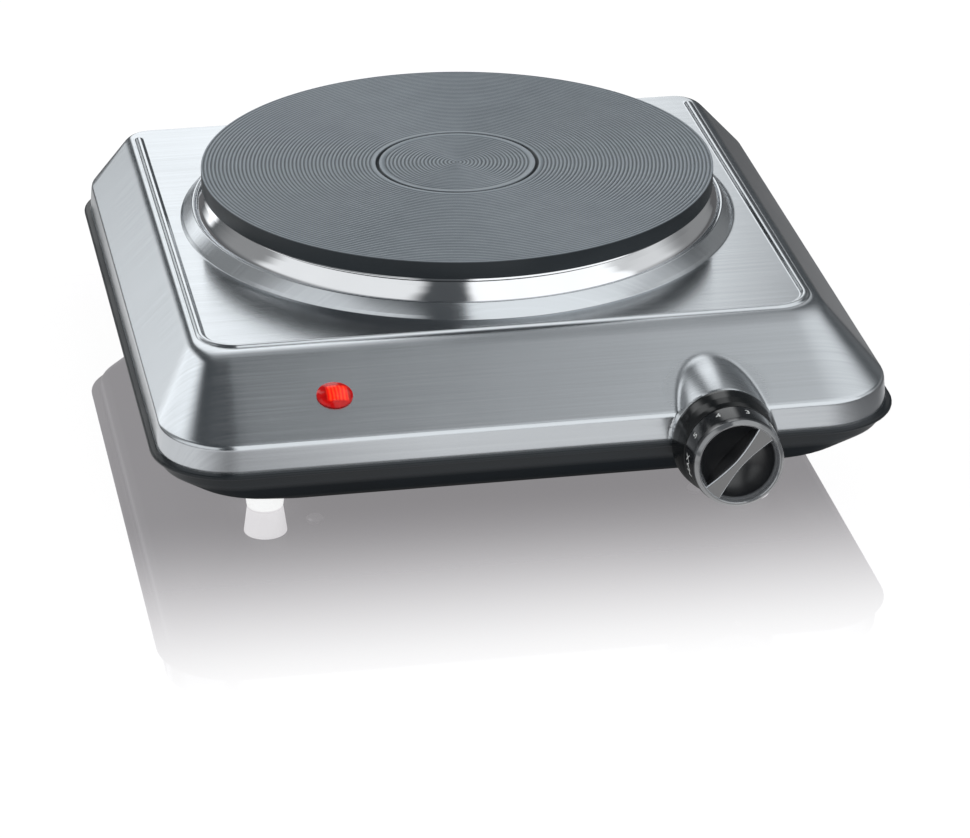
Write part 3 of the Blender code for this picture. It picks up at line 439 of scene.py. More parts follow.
def rounded(corners, steps=6):
    """Open outline through (x, y, radius) corners, each turned into an arc of that radius."""
    points = [Vector(corners[0][:2])]
    for before, corner, after in zip(corners, corners[1:], corners[2:]):
        here = Vector(corner[:2])
        to_before = Vector(before[:2]) - here
        to_after = Vector(after[:2]) - here
        half = to_before.angle(to_after) / 2
        if not corner[2] or half > math.radians(89.5):
            points.append(here)
            continue
        reach = min(corner[2] / math.tan(half), 0.48 * min(to_before.length, to_after.length))
        first = here + to_before.normalized() * reach
        last = here + to_after.normalized() * reach
        bisector = (to_before.normalized() + to_after.normalized()).normalized()
        centre = here + bisector * reach / math.cos(half)
        start = first - centre
        end = last - centre
        sweep = start.angle(end)
        for step in range(steps + 1):
            share = step / steps
            weight = math.sin((1 - share) * sweep), math.sin(share * sweep)
            points.append(centre + (start * weight[0] + end * weight[1]) / math.sin(sweep))
    points.append(Vector(corners[-1][:2]))
    return points


def turned(name, outline, matrix, steps=96, closed=False):
    """Mesh of an outline of (radius, height) points turned about the matrix's Z axis."""
    angles = [math.tau * step / steps for step in range(steps)]
    verts = []
    rings = []
    for radius, z in outline:
        around = angles if radius > 0 else angles[:1]
        start = len(verts)
        verts.extend((radius * math.cos(a), radius * math.sin(a), z) for a in around)
        rings.append([start + step % len(around) for step in range(steps + 1)])
    pairs = list(zip(rings, rings[1:]))
    if closed:
        pairs.append((rings[-1], rings[0]))
    faces = []
    for one, other in pairs:
        for step in range(steps):
            corners = (one[step], other[step], other[step + 1], one[step + 1])
            faces.append(list(dict.fromkeys(corners)))
    return smoothed(outward(name, verts, faces, matrix))


def mesh_of(name, shape, matrix=None):
    """Mesh of a bmesh, which is freed."""
    mesh = bpy.data.meshes.new(name)
    shape.to_mesh(mesh)
    shape.free()
    if matrix:
        mesh.transform(matrix)
    return mesh


def finished(name, shape, matrix=None):
    bmesh.ops.recalc_face_normals(shape, faces=shape.faces)
    return smoothed(mesh_of(name, shape, matrix))


def grid_mesh(name, rows, wrap_rows=False, cap=False):
    """Mesh over rows of points that close on themselves, and over the rows too if asked."""
    count, width = rows.shape[:2]
    index = np.arange(count * width).reshape(count, width)
    nearer = index if wrap_rows else index[:-1]
    farther = np.roll(index, -1, 0) if wrap_rows else index[1:]
    quads = np.stack((nearer, farther, np.roll(farther, -1, 1), np.roll(nearer, -1, 1)), -1)
    faces = quads.reshape(-1, 4).tolist()
    if cap:
        faces.append(index[0].tolist())
        faces.append(index[-1][::-1].tolist())
    return outward(name, rows.reshape(-1, 3).tolist(), faces)


def outward(name, verts, faces, matrix=None):
    """Mesh of a closed surface whose faces all point out."""
    mesh = bpy.data.meshes.new(name)
    mesh.from_pydata(verts, [], faces)
    shape = bmesh.new()
    shape.from_mesh(mesh)
    if shape.calc_volume(signed=True) < 0:
        bmesh.ops.reverse_faces(shape, faces=shape.faces)
        shape.to_mesh(mesh)
    shape.free()
    if matrix:
        mesh.transform(matrix)
    return mesh


def evaluated_mesh(thing):
    """Mesh of an object, with its modifiers or its text made real."""
    bpy.context.view_layer.update()
    graph = bpy.context.evaluated_depsgraph_get()
    return bpy.data.meshes.new_from_object(thing.evaluated_get(graph))


def combine(piece, shapes, operation="DIFFERENCE"):
    """Take the shapes out of a piece's mesh, or join them to it."""
    for shape in shapes:
        tool = placed("tool", shape)
        modifier = piece.modifiers.new("combine", "BOOLEAN")
        modifier.object = tool
        modifier.operation = operation
        modifier.solver = "MANIFOLD"
        before = piece.data
        mesh = evaluated_mesh(piece)
        piece.modifiers.clear()
        piece.data = mesh
        bpy.data.meshes.remove(before)
        bpy.data.objects.remove(tool)
        bpy.data.meshes.remove(shape)


def smooth_min(a, b, width):
    """The smaller of two distances, with a rounded change from one to the other."""
    near = np.maximum(width - np.abs(a - b), 0) / width
    return np.minimum(a, b) - near ** 2 * width / 4


def inside(matrix, points):
    """Points in the matrix's own axes."""
    turn = np.array(matrix.inverted())
    return points @ turn[:3, :3].T + turn[:3, 3]


# ------------------------------------------------------------------ rounded-rectangle rows
def graded(*spans):
    return np.concatenate([np.linspace(a, b, n, endpoint=False) for a, b, n in spans])


CORNER = graded((0, 1, 14))
PLAIN_SIDES = (graded((0, 1, 12)),) * 4
HOOD_SIDES = (
    graded((0, 0.955, 30), (0.955, 1, 18)),             # right, towards the back
    graded((0, 0.17, 6), (0.17, 0.43, 44), (0.43, 1, 20)),   # back, towards the left
    graded((0, 0.045, 18), (0.045, 1, 30)),             # left, towards the front
    graded((0, 0.69, 34), (0.69, 0.945, 92), (0.945, 1, 4)),   # front, towards the right
)


def loop(level, sides):
    """Points round a rounded rectangle, from its front right corner, seen anticlockwise."""
    half, front, back, near, far, z = level
    corners = ((half - near, front + near, near, -90), (half - far, back - far, far, 0),
               (far - half, back - far, far, 90), (near - half, front + near, near, 180))
    runs = []
    for k, side in enumerate(sides):
        x, y, radius, start = corners[k]
        angle = np.radians(start + 90 * CORNER)
        runs.append(np.stack((x + radius * np.cos(angle), y + radius * np.sin(angle)), -1))
        leave = arc_point(x, y, radius, start + 90)
        meet = arc_point(*corners[(k + 1) % 4])
        runs.append(leave + side[:, None] * (meet - leave))
    flat = np.concatenate(runs)
    return np.column_stack((flat, np.full(len(flat), z)))


def arc_point(x, y, radius, degrees):
    angle = math.radians(degrees)
    return np.array((x + radius * math.cos(angle), y + radius * math.sin(angle)))


def bend(before, corner, after, steps):
    """Levels along the rounded change of slope at a corner level."""
    share = np.linspace(0, 1, steps + 1)[:, None]
    return (1 - share) ** 2 * before + 2 * share * (1 - share) * corner + share ** 2 * after


def fold(before, corner, after, near, far, steps):
    """Levels round a corner level, over shares of the way from before it and to after it."""
    return bend(corner - near * (corner - before), corner, corner + far * (after - corner), steps)


def run(start, end, steps):
    share = np.linspace(0, 1, steps + 1)[1:-1, None]
    return start + share * (end - start)


# ------------------------------------------------------------------ hood
def collar_rows():
    """Rows of the pressed collar, cut short where the hood's back edge meets it."""
    guide = loop(BEAD_LINE, HOOD_SIDES)
    angle = np.arctan2(guide[:, 1] - PLATE_Y, guide[:, 0])
    outline = rounded(COLLAR, 5)
    rows = []
    for order, (radius, z) in enumerate(outline):
        y = PLATE_Y + radius * np.sin(angle)
        limit = 0.1320 + 0.00001 * order
        rows.append(np.column_stack((radius * np.cos(angle), np.minimum(y, limit),
                                     np.full(len(angle), z))))
    return rows


def bead_rows():
    """Rows across the raised U-shaped bead, whose arms end short of the back edge."""
    rows = []
    for offset in np.linspace(-1.2, 1.2, 21) * BEAD_REACH:
        level = BEAD_LINE + np.array((offset, -offset, 0.03 * offset, offset, 0, 0))
        row = loop(level, HOOD_SIDES)
        away = np.hypot(offset, np.maximum(0, row[:, 1] - BEAD_END))
        crown = 0.18
        share = np.clip((away / BEAD_REACH - crown) / (1 - crown), 0, 1)
        row[:, 2] += BEAD_HEIGHT * 0.5 * (1 + np.cos(math.pi * share))
        rows.append(row)
    return rows


def slope_levels():
    """Levels from the panel's edge over the shoulder, down the sides and the skirt."""
    crease = fold(SHOULDER_END, SKIRT_TOP, SKIRT_FOOT, 0.035, 0.14, 6)
    return np.concatenate((
        bend(SHOULDER_START, SHOULDER, SHOULDER_END, 9),
        run(SHOULDER_END, crease[0], 58),
        crease,
        run(crease[-1], SKIRT_FOOT, SKIRT_ROWS - 1),
        [SKIRT_FOOT]))


def boss_distance(points):
    """Distance to the half-round boss that carries the heat control."""
    local = inside(CONTROL, points)
    depth = np.maximum(-local[..., 2], 0)
    lift = BOSS_RISE * depth - BOSS_BOW * depth ** 2
    side = np.hypot(local[..., 0], local[..., 1] - lift) - BOSS_RADIUS
    return -smooth_min(-side, -local[..., 2], 0.0012)


def pad_distance(points):
    """Distance to the round pad that the cord gland sits in."""
    local = inside(GLAND, points)
    side = np.hypot(local[..., 0], local[..., 1]) - PAD_RADIUS
    return -smooth_min(-side, -local[..., 2], 0.0010)


def raised(points, normals, distance, limit, fillet):
    """Points pushed out along their normals to a shape that is blended into the sheet."""
    height = np.full(points.shape[:-1], limit)
    for _ in range(90):
        gap = smooth_min(height, distance(points + height[..., None] * normals), fillet)
        height = height - gap
    return points + np.maximum(height, 0)[..., None] * normals


def normals_of(rows):
    across = np.roll(rows, -1, 1) - np.roll(rows, 1, 1)
    down = np.gradient(rows, axis=0)
    normal = np.cross(down, across)
    return normal / np.maximum(np.linalg.norm(normal, axis=-1, keepdims=True), 1e-12)


def hood_rows():
    """Outer surface of the hood, row by row from the plate's opening to the skirt's foot."""
    flat = collar_rows()
    collar_foot = flat[-1]
    beads = bead_rows()
    for share in (0.33, 0.66):
        flat.append(collar_foot * (1 - share) + beads[0] * share)
    top = np.array(flat + beads)
    sides = np.array([loop(level, HOOD_SIDES) for level in slope_levels()])
    normals = normals_of(sides)
    normals[-SKIRT_ROWS:] = normals[-SKIRT_ROWS]
    from_boss = np.abs(sides[..., 0] - CONTROL.translation.x)
    from_pad = np.abs(sides[..., 0] - GLAND.translation.x)
    for near, distance, limit, fillet in (
            ((from_boss < 0.024) & (sides[..., 1] < -0.078), boss_distance, 0.014, BOSS_FILLET),
            ((from_pad < 0.013) & (sides[..., 1] > 0.125), pad_distance, 0.009, 0.0012)):
        sides[near] = raised(sides[near], normals[near], distance, limit, fillet)
    return np.concatenate((top, sides))


def rolled_foot(rows, normals):
    """Rounded cut edge along the foot of the sheet."""
    edge = rows[-1]
    inward = -normals[-1] * SHEET / 2
    turns = []
    for step in range(1, 6):
        angle = math.pi * step / 6
        turns.append(edge + inward * (1 - math.cos(angle))
                     + np.array((0, 0, -SHEET / 2 * math.sin(angle))))
    return np.array(turns)


def hole(radius, matrix):
    """Cutter of a round hole through the sheet."""
    reach = 0.004
    return turned("hole", [(0, reach), (radius, reach), (radius, -reach), (0, -reach)], matrix, 48)


def make_hood():
    """Brushed hood, one sheet thick, with the lamp's and the gland's holes."""
    outer = hood_rows()
    outer[-1, :, 2] += SHEET / 2
    normals = normals_of(outer)
    inner = (outer - normals * SHEET)[::-1]
    rows = np.concatenate((outer, rolled_foot(outer, normals), inner[:1], inner[1:-1:2],
                           inner[-1:]))
    mesh = grid_mesh("hood", rows, wrap_rows=True)
    add_brushing(mesh)
    hood = show("hood", mesh, "brushed_stainless", stands_for=["top_housing"])
    combine(hood, [hole(LAMP_HOLE, LAMP), hole(GLAND_HOLE, GLAND)])
    smoothed(hood.data, 38)


def add_brushing(mesh):
    """UV layer that unfolds the pressed sheet, so that the brushing runs along its width."""
    count = len(mesh.vertices)
    place = np.zeros(count * 3)
    mesh.vertices.foreach_get("co", place)
    place = place.reshape(-1, 3)
    normal = np.zeros(count * 3)
    mesh.vertices.foreach_get("normal", normal)
    normal = normal.reshape(-1, 3)[:, :2]
    away = place[:, :2] - np.array((0, 0.012))
    lean = np.sign(np.sum(normal * away, -1, keepdims=True)) * normal
    lean /= np.maximum(np.linalg.norm(lean, axis=-1, keepdims=True), 0.2)
    drop = np.maximum(PANEL_Z - place[:, 2:], 0)
    flat = (place[:, :2] + lean * drop)[:, ::-1]
    corners = np.zeros(len(mesh.loops), int)
    mesh.loops.foreach_get("vertex_index", corners)
    layer = mesh.uv_layers.new(name="brushing")
    layer.data.foreach_set("uv", flat[corners].ravel())


# ------------------------------------------------------------------ pan and feet
def make_pan():
    """Black pan: rolled lip, short wall, sloping belly, flat floor with vents."""
    outwards = np.array((1, -1, 1, 1, 1, 0))
    up = np.array((0, 0, 0, 0, 0, SHEET))
    wall = outwards * SHEET
    step = outwards * 0.0015
    centre = np.array((0.0600, -0.0450, 0.0850, 0.0150, 0.0150, PAN_FLOOR[5]))
    outside = np.concatenate((
        [centre],
        bend(PAN_FLOOR - step * 2, PAN_FLOOR, PAN_FLOOR + 0.12 * (PAN_BELLY - PAN_FLOOR), 5),
        fold(PAN_FLOOR, PAN_BELLY, PAN_WALL_FOOT, 0.15, 0.15, 5),
        fold(PAN_BELLY, PAN_WALL_FOOT, PAN_WALL_TOP, 0.10, 0.2, 5)))
    lip_low = PAN_LIP.copy()
    lip_low[5] = PAN_WALL_TOP[5]
    lip = np.concatenate((
        fold(PAN_WALL_FOOT, PAN_WALL_TOP, lip_low, 0.2, 0.3, 4),
        fold(PAN_WALL_TOP, lip_low, PAN_LIP, 0.25, 0.5, 4),
        bend(0.5 * (lip_low + PAN_LIP), PAN_LIP, PAN_LIP - step * 0.5, 4)))
    inside_top = PAN_WALL_TOP - wall
    inside_top[5] = PAN_LIP[5]
    within = np.array((
        inside_top, PAN_WALL_FOOT - wall + 0.6 * up, PAN_BELLY - 0.7 * wall + 0.7 * up,
        PAN_FLOOR - 0.4 * wall + up, centre + up))
    levels = np.concatenate((outside, lip, within))
    mesh = grid_mesh("pan", np.array([loop(level, PLAIN_SIDES) for level in levels]), cap=True)
    pan = show("pan", mesh, "black_enamel", stands_for=["bottom_pan"])
    combine(pan, [pan_cutters()])
    smoothed(pan.data, 30)


def pan_cutters():
    """One mesh of the vents, the screw holes and the hole round the regulator's bushing."""
    floor_z = 0.0105
    shape = bmesh.new()
    for row in (0.0200, 0.0560):
        for column in (-0.0380, 0.0, 0.0380):
            vent = Matrix.Translation((column, row, floor_z))
            bmesh.ops.create_cube(shape, size=1.0,
                                  matrix=vent @ Matrix.Diagonal((0.026, 0.003, 0.006, 1)))
    rods = []
    for node in frame["nodes"]:
        if node.startswith(("foot_screw", "housing_screw", "earth_screw")):
            place = middle(node)
            radius = 0.0023 if node.startswith("foot") else 0.0020
            rods.append((radius, 0.006, 24, Matrix.Translation((place.x, place.y, floor_z))))
    rods.append((BUSHING_HOLE, 0.016, 48, CONTROL))
    for radius, length, segments, matrix in rods:
        bmesh.ops.create_cone(shape, cap_ends=True, segments=segments, radius1=radius,
                              radius2=radius, depth=length, matrix=matrix)
    return mesh_of("pan_cutters", shape)


def make_feet():
    """Soft white feet with a rounded sole, a flared top and a recess for their screw."""
    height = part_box("foot_front_left")[1].z
    outline = rounded([
        (0.0023, height, 0), (0.0074, height, 0.0006), (0.0061, 0.0, 0.0008), (0.0042, 0.0, 0.0004),
        (0.0042, 0.0040, 0.0003), (0.0023, 0.0040, 0.0), (0.0023, height - 0.0001, 0)], 5)
    for node in frame["nodes"]:
        if node.startswith("foot_") and not node.startswith(("foot_screw", "foot_nut")):
            place = middle(node)
            mesh = turned(node, outline, Matrix.Translation((place.x, place.y, 0)), 64, True)
            show(f"{node}_pad", mesh, "white_rubber", stands_for=[node])


# ------------------------------------------------------------------ plate and ring
def make_plate():
    """Cast plate with turned grooves, a ring in the middle and a plain side."""
    groove_shape = ((-0.00036, 0.0), (-0.00015, 0.85), (0.0, 1.0), (0.00015, 0.85), (0.00036, 0.0))
    ring_shape = ((-0.0012, 0.0), (-0.0007, 0.0), (-0.0004, 0.0006), (0.0, 0.0008),
                  (0.0004, 0.0006), (0.0007, 0.0), (0.0012, 0.0))
    last = PLATE_RADIUS - 0.0004
    top = [(0.0, PLATE_TOP)]
    for groove in range(int(last / GROOVE_PITCH + 0.5)):
        radius = (groove + 0.5) * GROOVE_PITCH
        if abs(radius - RING_GROOVE) >= 1.2 * GROOVE_PITCH:
            top.extend((radius + offset, PLATE_TOP - GROOVE_DEPTH * share)
                       for offset, share in groove_shape)
    top.extend((RING_GROOVE + offset, PLATE_TOP - depth) for offset, depth in ring_shape)
    top.sort()
    side = PLATE_TOP - PLATE_SIDE
    neck = 0.0870
    base = PLATE_LOW.z
    below = rounded([
        (last + 0.00005, PLATE_TOP, 0), (PLATE_RADIUS, PLATE_TOP, 0.00025),
        (PLATE_RADIUS, side, 0.0005), (neck, side, 0.0004), (neck, base, 0.0005),
        (0.0800, base, 0.0005), (0.0800, 0.0700, 0.001), (0.0100, 0.0700, 0.001),
        (0.0100, 0.0660, 0.0004), (0.0033, 0.0660, 0), (0.0033, 0.0740, 0), (0.0, 0.0740, 0)], 5)
    mesh = turned("plate", top + [tuple(p) for p in below], PLATE_AXIS, 288)
    smoothed(mesh, 50)
    show("plate", mesh, "cast_iron", stands_for=["hot_plate"])


def make_ring():
    """Chromed spill ring, flared from under the plate's rim to the collar."""
    top = PLATE_TOP - PLATE_SIDE - FINE
    wall = 0.0006
    inner = 0.0873
    outer = 0.0924
    outline = rounded([
        (inner, 0.0650, 0), (inner, top, 0.0002), (0.0882, top, 0.0002),
        (0.0884, top - 0.0008, 0.0006), (0.0897, top - 0.0024, 0.0060),
        (0.0916, top - 0.0050, 0.008), (outer, top - 0.0074, 0.0002),
        (outer - wall, top - 0.0074, 0.0001), (0.0910, top - 0.0052, 0.008),
        (0.0892, top - 0.0028, 0.0050), (inner + wall, top - 0.0016, 0.0004),
        (inner + wall, 0.0650, 0)], 8)
    mesh = turned("ring", outline, PLATE_AXIS, 256, True)
    show("ring", mesh, "chromed_steel", stands_for=["spill_ring"])


# ------------------------------------------------------------------ control
def make_bezel():
    """Fixed sleeve behind the knob, with a soft waist and a thin front edge."""
    outline = rounded([
        (0.0147, 0.0015, 0.0003), (0.0147, 0.0108, 0.0002), (0.0152, 0.0112, 0.0002),
        (0.0159, 0.0112, 0.0003), (0.0165, 0.0092, 0.002), (0.0172, 0.0060, 0.006),
        (0.0177, 0.0022, 0.0015), (0.0177, 0.0008, 0.0006), (0.0170, 0.0003, 0.0003),
        (0.0054, 0.0003, 0.0001), (0.0054, 0.0015, 0.0001)], 6)
    mesh = turned("bezel", outline, CONTROL, 128, True)
    show("bezel", mesh, "sleeve_black", stands_for=["knob_bezel"])


KNOB_OUTLINE = (
    (0.0, 0.0133, 0), (0.0035, 0.0136, 0.020), (0.0070, 0.0147, 0.020), (0.0100, 0.0167, 0.016),
    (0.0121, 0.0195, 0.010), (0.0132, 0.0227, 0.0010), (0.0136, 0.0232, 0.0004),
    (0.0139, 0.0231, 0.0004),
    (0.0149, 0.0219, 0.0010), (0.0153, 0.0198, 0.0012), (0.0158, 0.0116, 0.0003),
    (0.0155, 0.0115, 0.0001), (0.0143, 0.0115, 0.0002), (0.0143, 0.0105, 0.0002),
    (0.0060, 0.0105, 0.0003), (0.0060, 0.0055, 0.0002), (0.0, 0.0055, 0),
)


def grip_rows():
    """Rows of the waisted grip, from inside the knob's floor to its rounded top edge."""
    reach = 0.0134
    steps = 24
    top = 0.0225
    edge = 0.0006
    levels = [(0.0128, 0.0006), (0.0145, 0.0003), (0.0160, 0.0001), (top - edge, 0.0)]
    for step in range(1, 6):
        angle = math.pi / 2 * step / 5
        levels.append((top - edge + edge * math.sin(angle), -edge * (1 - math.cos(angle))))
    rows = []
    for height, grow in levels:
        side = []
        for step in range(steps + 1):
            along = -1 + 2 * step / steps
            half = 0.0014 + 0.0019 * abs(along) ** 1.6 + grow
            side.append((along * reach, half))
        outline = [(x, -y) for x, y in side] + side[::-1]
        rows.append([(x, y, height) for x, y in outline])
    return np.array(rows)


def make_knob():
    """Knob with a numbered skirt, a dished face and a grip across it."""
    body = turned("knob", rounded(KNOB_OUTLINE, 6), CONTROL, 144)
    knob = show("knob", body, "knob_black", "knob", stands_for=["control_knob"])
    grip = grid_mesh("grip", grip_rows(), cap=True)
    grip.transform(CONTROL @ Matrix.Rotation(GRIP_ANGLE, 4, "Z"))
    combine(knob, [grip], "UNION")
    smoothed(knob.data, 40)


def letters(text, size):
    """Flat mesh of a dial mark, centred on the origin."""
    curve = bpy.data.curves.new("mark", "FONT")
    curve.body = text
    curve.size = size
    curve.align_x = "CENTER"
    curve.align_y = "CENTER"
    curve.extrude = 0.00003
    holder = placed("mark", curve)
    mesh = evaluated_mesh(holder)
    bpy.data.objects.remove(holder)
    bpy.data.curves.remove(curve)
    return mesh


def make_dial_marks():
    """Numbers round the knob's skirt; the grip's turn brings each to the sleeve's pointer."""
    marks = {"MAX": 187, "5": 147.5, "4": 111, "3": 74.5, "2": 38, "1": 1.5, "0": -81.5}
    height = 0.0155
    radius = 0.01558
    taper = 0.06
    clearance = 0.00002
    shape = bmesh.new()
    for text, degrees in marks.items():
        mesh = letters(text, 0.0037)
        for vertex in mesh.vertices:
            across, up, out = vertex.co
            angle = math.radians(degrees) - across / radius
            reach = radius + out + taper * up + clearance
            vertex.co = (reach * math.cos(angle), reach * math.sin(angle), height - up)
        shape.from_mesh(mesh)
        bpy.data.meshes.remove(mesh)
    show("dial_marks", mesh_of("dial_marks", shape, CONTROL), "white_print", "knob")


def make_pointer():
    """Small printed wedge on the fixed sleeve, which the dial is read against."""
    shape = bmesh.new()
    verts = []
    foot, tip = 0.0070, 0.0100
    for across, along in ((-0.0009, foot), (0.0009, foot), (0.0002, tip), (-0.0002, tip)):
        radius = 0.0177 - (along - 0.0022) * (0.0177 - 0.0159) / 0.0080 + 0.00012
        angle = POINTER_ANGLE + across / radius
        verts.append(shape.verts.new((radius * math.cos(angle), radius * math.sin(angle), along)))
    face = shape.faces.new(verts)
    made = bmesh.ops.extrude_face_region(shape, geom=[face])["geom"]
    inward = Vector((math.cos(POINTER_ANGLE), math.sin(POINTER_ANGLE), 0)) * -0.0001
    bmesh.ops.translate(shape, vec=inward,
                        verts=[v for v in made if isinstance(v, bmesh.types.BMVert)])
    show("pointer_mark", finished("pointer_mark", shape, CONTROL), "white_print")


# ------------------------------------------------------------------ lamp and gland
def make_lens():
    """Clear red lens, domed, with a round stem through the hood."""
    outline = rounded([
        (0.0, 0.0022, 0), (0.0028, 0.0020, 0.012), (0.0050, 0.0013, 0.003),
        (0.0060, 0.0007, 0.0004), (0.0060, 0.0003, 0.0001), (0.0046, 0.0003, 0.0001),
        (0.0046, -0.0110, 0.0002), (0.0036, -0.0110, 0.0002), (0.0036, -0.0010, 0.0004),
        (0.0, -0.0006, 0)], 7)
    mesh = turned("lens", outline, LAMP, 96)
    show("lens", mesh, "red_lens", stands_for=["indicator_lens"])


def make_gland():
    """Round bushing in the back wall, with a soft collar round the cord's bore."""
    outline = rounded([
        (0.0037, 0.0013, 0.0005), (0.0044, 0.0019, 0.0004), (0.0078, 0.0019, 0.0008),
        (0.0085, 0.0010, 0.0005), (0.0085, 0.0003, 0.0001), (0.0052, 0.0003, 0.0001),
        (0.0052, -0.0090, 0.0002), (0.0037, -0.0090, 0.0002)], 6)
    mesh = turned("gland", outline, GLAND, 96, True)
    show("gland", mesh, "gloss_black", stands_for=["cord_gland"])


def dress_nodes():
    """Give every node that is kept from the frame the finish of its material slot."""
    for row in frame["record"]["subparts"]:
        node = frame["nodes"][row["node"]]
        if node.hide_render:
            continue
        node.data.materials.clear()
        node.data.materials.append(FINISHES[row["material_slot"]])


# ------------------------------------------------------------------ floor, light, camera
# Where the table mirrors: axis, middle, and how far from it the fade starts and ends
MIRROR_SPAN = (("Y", 0.012, 0.077, 0.226), ("X", 0.0, 0.160, 0.260))
MIRROR_SHARE = 0.50
# The light that the table sends up to the appliance, which the camera doesn't see
SHADED_SPAN = (0.105, 0.150)              # grows past the edge of the appliance
FAR_SPAN = (0.12, 0.36)                   # falls off behind it
RIGHT_SPAN = (0.13, 0.22)                 # and to its right
DARK_SPOT = (-0.132, -0.242, 0)           # and round this point, within the next two radii
DARK_SPAN = (0.010, 0.120)


def make_floor():
    """Glossy pale table, whose mirror fades away from the appliance; it glows, painted darker towards the
    appliance, and sends painted light up to it.
    """
    shape = bmesh.new()
    bmesh.ops.create_grid(shape, x_segments=8, y_segments=8, size=6.0)
    floor = placed("floor", finished("floor", shape))
    finish = Finish("table", (0.17, 0.167, 0.17), 0.6, Specular_IOR_Level=0.0)
    where = finish.where()
    place = finish.axes(where)
    ray = finish.node("ShaderNodeLightPath").outputs["Is Camera Ray"]
    fades = []
    beneath = []
    for axis, centre, start, end in MIRROR_SPAN:
        away = finish.math("ABSOLUTE", finish.math("SUBTRACT", place[axis], centre))
        fades.append(finish.fade_out(away, start, end))
        beneath.append(finish.spread(away, 0.96, 0.0, *SHADED_SPAN))
    fade = finish.math("MULTIPLY", *fades)
    share = finish.math("MULTIPLY", fade, MIRROR_SHARE)
    # painted shade: the glow that the camera sees dims towards the appliance so its mirrored part shows grey, with
    # a painted mauve tint
    wanted = finish.math("MULTIPLY_ADD", fade, -0.73, 1.03)
    level = finish.math("DIVIDE", wanted, finish.math("SUBTRACT", 1.0, share))
    level = finish.math("SUBTRACT", level, 0.10)
    tint = finish.blend(fade, (1.0, 1.0, 1.0, 1), (1.0, 0.965, 1.0, 1))
    seen = finish.vector("SCALE", tint, level)
    # painted light for reflections and light: the glow falls off behind and to the right, with painted shade
    # beneath the appliance and round DARK_SPOT
    far = finish.spread(place["Y"], 0.76, 0.02, *FAR_SPAN)
    lit = finish.math("SUBTRACT", 1.0, finish.math("MULTIPLY", *beneath))
    spot = finish.spread(finish.vector("DISTANCE", where, DARK_SPOT), 0.08, 1.0, *DARK_SPAN)
    shade = finish.math("MULTIPLY", spot, finish.spread(place["X"], 1.0, 0.08, *RIGHT_SPAN))
    bounce = finish.math("MULTIPLY", finish.math("MULTIPLY", far, lit), shade)
    finish.link(finish.blend(ray, bounce, seen), "Emission Color")
    finish.set("Emission Strength", 1.0)
    mirror = finish.node("ShaderNodeBsdfGlossy", {"Color": (0.97, 0.955, 0.97, 1),
                                                  "Roughness": 0.0})
    mix = finish.node("ShaderNodeMixShader", {
        0: finish.math("MULTIPLY", share, ray), 1: finish.shader.outputs[0],
        2: mirror.outputs[0]})
    finish.tree.links.new(mix.outputs[0], finish.tree.nodes["Material Output"].inputs["Surface"])
    floor.data.materials.append(finish.material)


# Soft panels of light: azimuth from the back towards the right, elevation, half width, half height,
# softness of the side edges and of the top and bottom edges (all in degrees), strength
PANELS = (
    (102, 20, 25, 18, 12, 10, 0.78),
    (60, 10, 20, 12, 10, 8, 0.28),
    (4.5, 27, 9.75, 20, 3, 7, 1.50),
    (-29.8, 30, 7.5, 26, 2.4, 5, 1.75),
    (73, 58, 48, 20, 20, 8, 1.10),
    (-66, 28, 22, 25, 12, 10, 0.30),
    (-114, 32, 38, 25, 5, 5, 0.95),
    (147, 44, 37, 46, 3, 5, 1.25),
)
STUDIO_DIM = (0.080, 0.087, 0.093, 1)
STUDIO_TINT = (0.98, 1.0, 1.01)
BACKDROP = (1.05, 1.05, 1.05, 1)          # white that the camera sees
MIRRORED_BACKDROP = (1.47, 1.51, 1.47, 1)   # and sees in the table


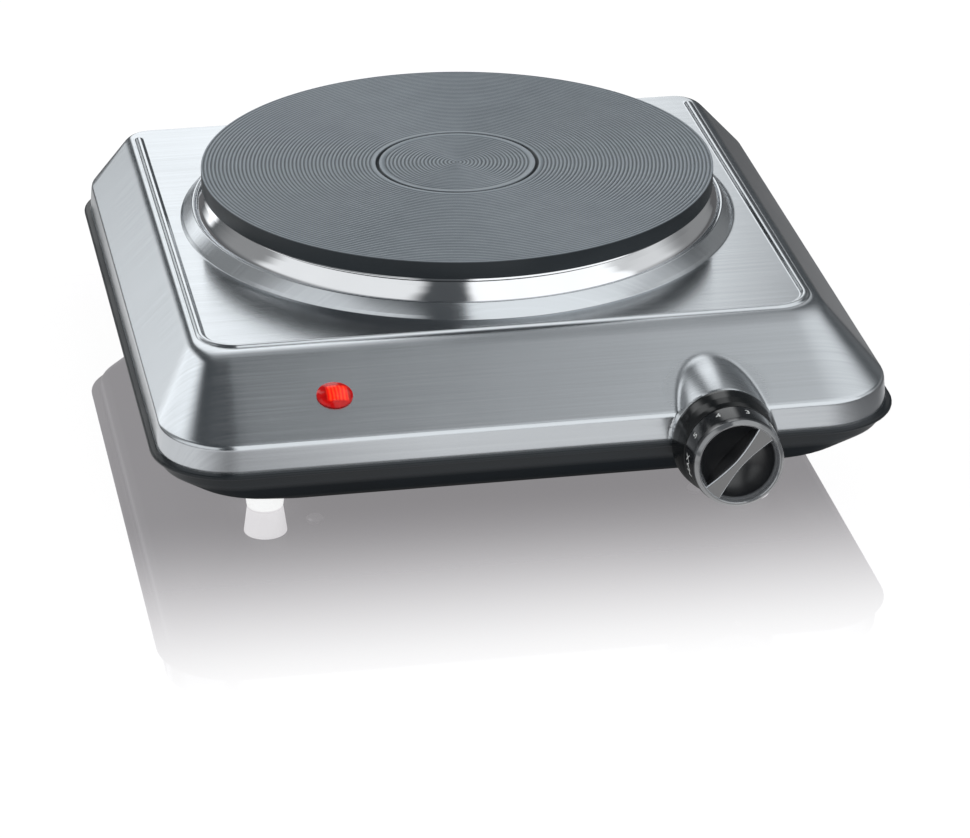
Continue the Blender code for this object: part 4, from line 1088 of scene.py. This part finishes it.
def make_world():
    """Dim studio with large soft panels round the table."""
    world = bpy.data.worlds.new("studio")
    bpy.context.scene.world = world
    world.use_nodes = True
    studio = Nodes(world.node_tree)

    def inside_panel(angle, size, soft):
        return studio.fade_out(angle, math.radians(size - soft), math.radians(size + soft))

    direction = studio.where("Generated")
    level = studio.vector("NORMALIZE", studio.vector("MULTIPLY", direction, (1, 1, 0)))
    elevation = studio.math("ARCSINE", studio.axes(direction)["Z"])
    total = studio.node("ShaderNodeRGB").outputs[0]
    total.default_value = STUDIO_DIM
    for azimuth, height, wide, high, side_soft, end_soft, strength in PANELS:
        turn = math.radians(azimuth)
        facing = studio.vector("DOT_PRODUCT", level, (math.sin(turn), math.cos(turn), 0))
        aside = studio.math("ARCCOSINE", facing)
        above = studio.math("ABSOLUTE", studio.math("SUBTRACT", elevation, math.radians(height)))
        mask = studio.math("MULTIPLY", inside_panel(aside, wide, side_soft),
                           inside_panel(above, high, end_soft))
        total = studio.blend(mask, total, (*(strength * c for c in STUDIO_TINT), 1))
    path = studio.node("ShaderNodeLightPath").outputs
    plain = studio.math("MAXIMUM", path["Is Camera Ray"], path["Is Singular Ray"])
    white = studio.blend(path["Is Singular Ray"], BACKDROP, MIRRORED_BACKDROP)
    seen = studio.blend(plain, total, white)
    studio.tree.links.new(seen, studio.tree.nodes["Background"].inputs["Color"])


CAMERA_PLACE = (-0.2608, -1.4447, 0.6788)
CAMERA_FORWARD = (0.1630, 0.8920, -0.4216)
CAMERA_UP = (0.0758, 0.4147, 0.9068)


def make_camera():
    camera = bpy.data.cameras.new("camera")
    camera.sensor_width = 36.0
    camera.lens = 170.67
    camera.clip_start = 0.05
    camera.clip_end = 50.0
    holder = placed("camera", camera)
    forward = Vector(CAMERA_FORWARD).normalized()
    right = forward.cross(Vector(CAMERA_UP)).normalized()
    turn = Matrix((right, right.cross(forward), -forward)).transposed().to_4x4()
    holder.matrix_world = Matrix.Translation(CAMERA_PLACE) @ turn
    bpy.context.scene.camera = holder


make_camera()
make_hood()
make_pan()
make_feet()
make_plate()
make_ring()
make_bezel()
make_knob()
make_dial_marks()
make_pointer()
make_lens()
make_gland()
dress_nodes()
make_floor()
make_world()
bpy.context.scene.view_settings.view_transform = "Standard"
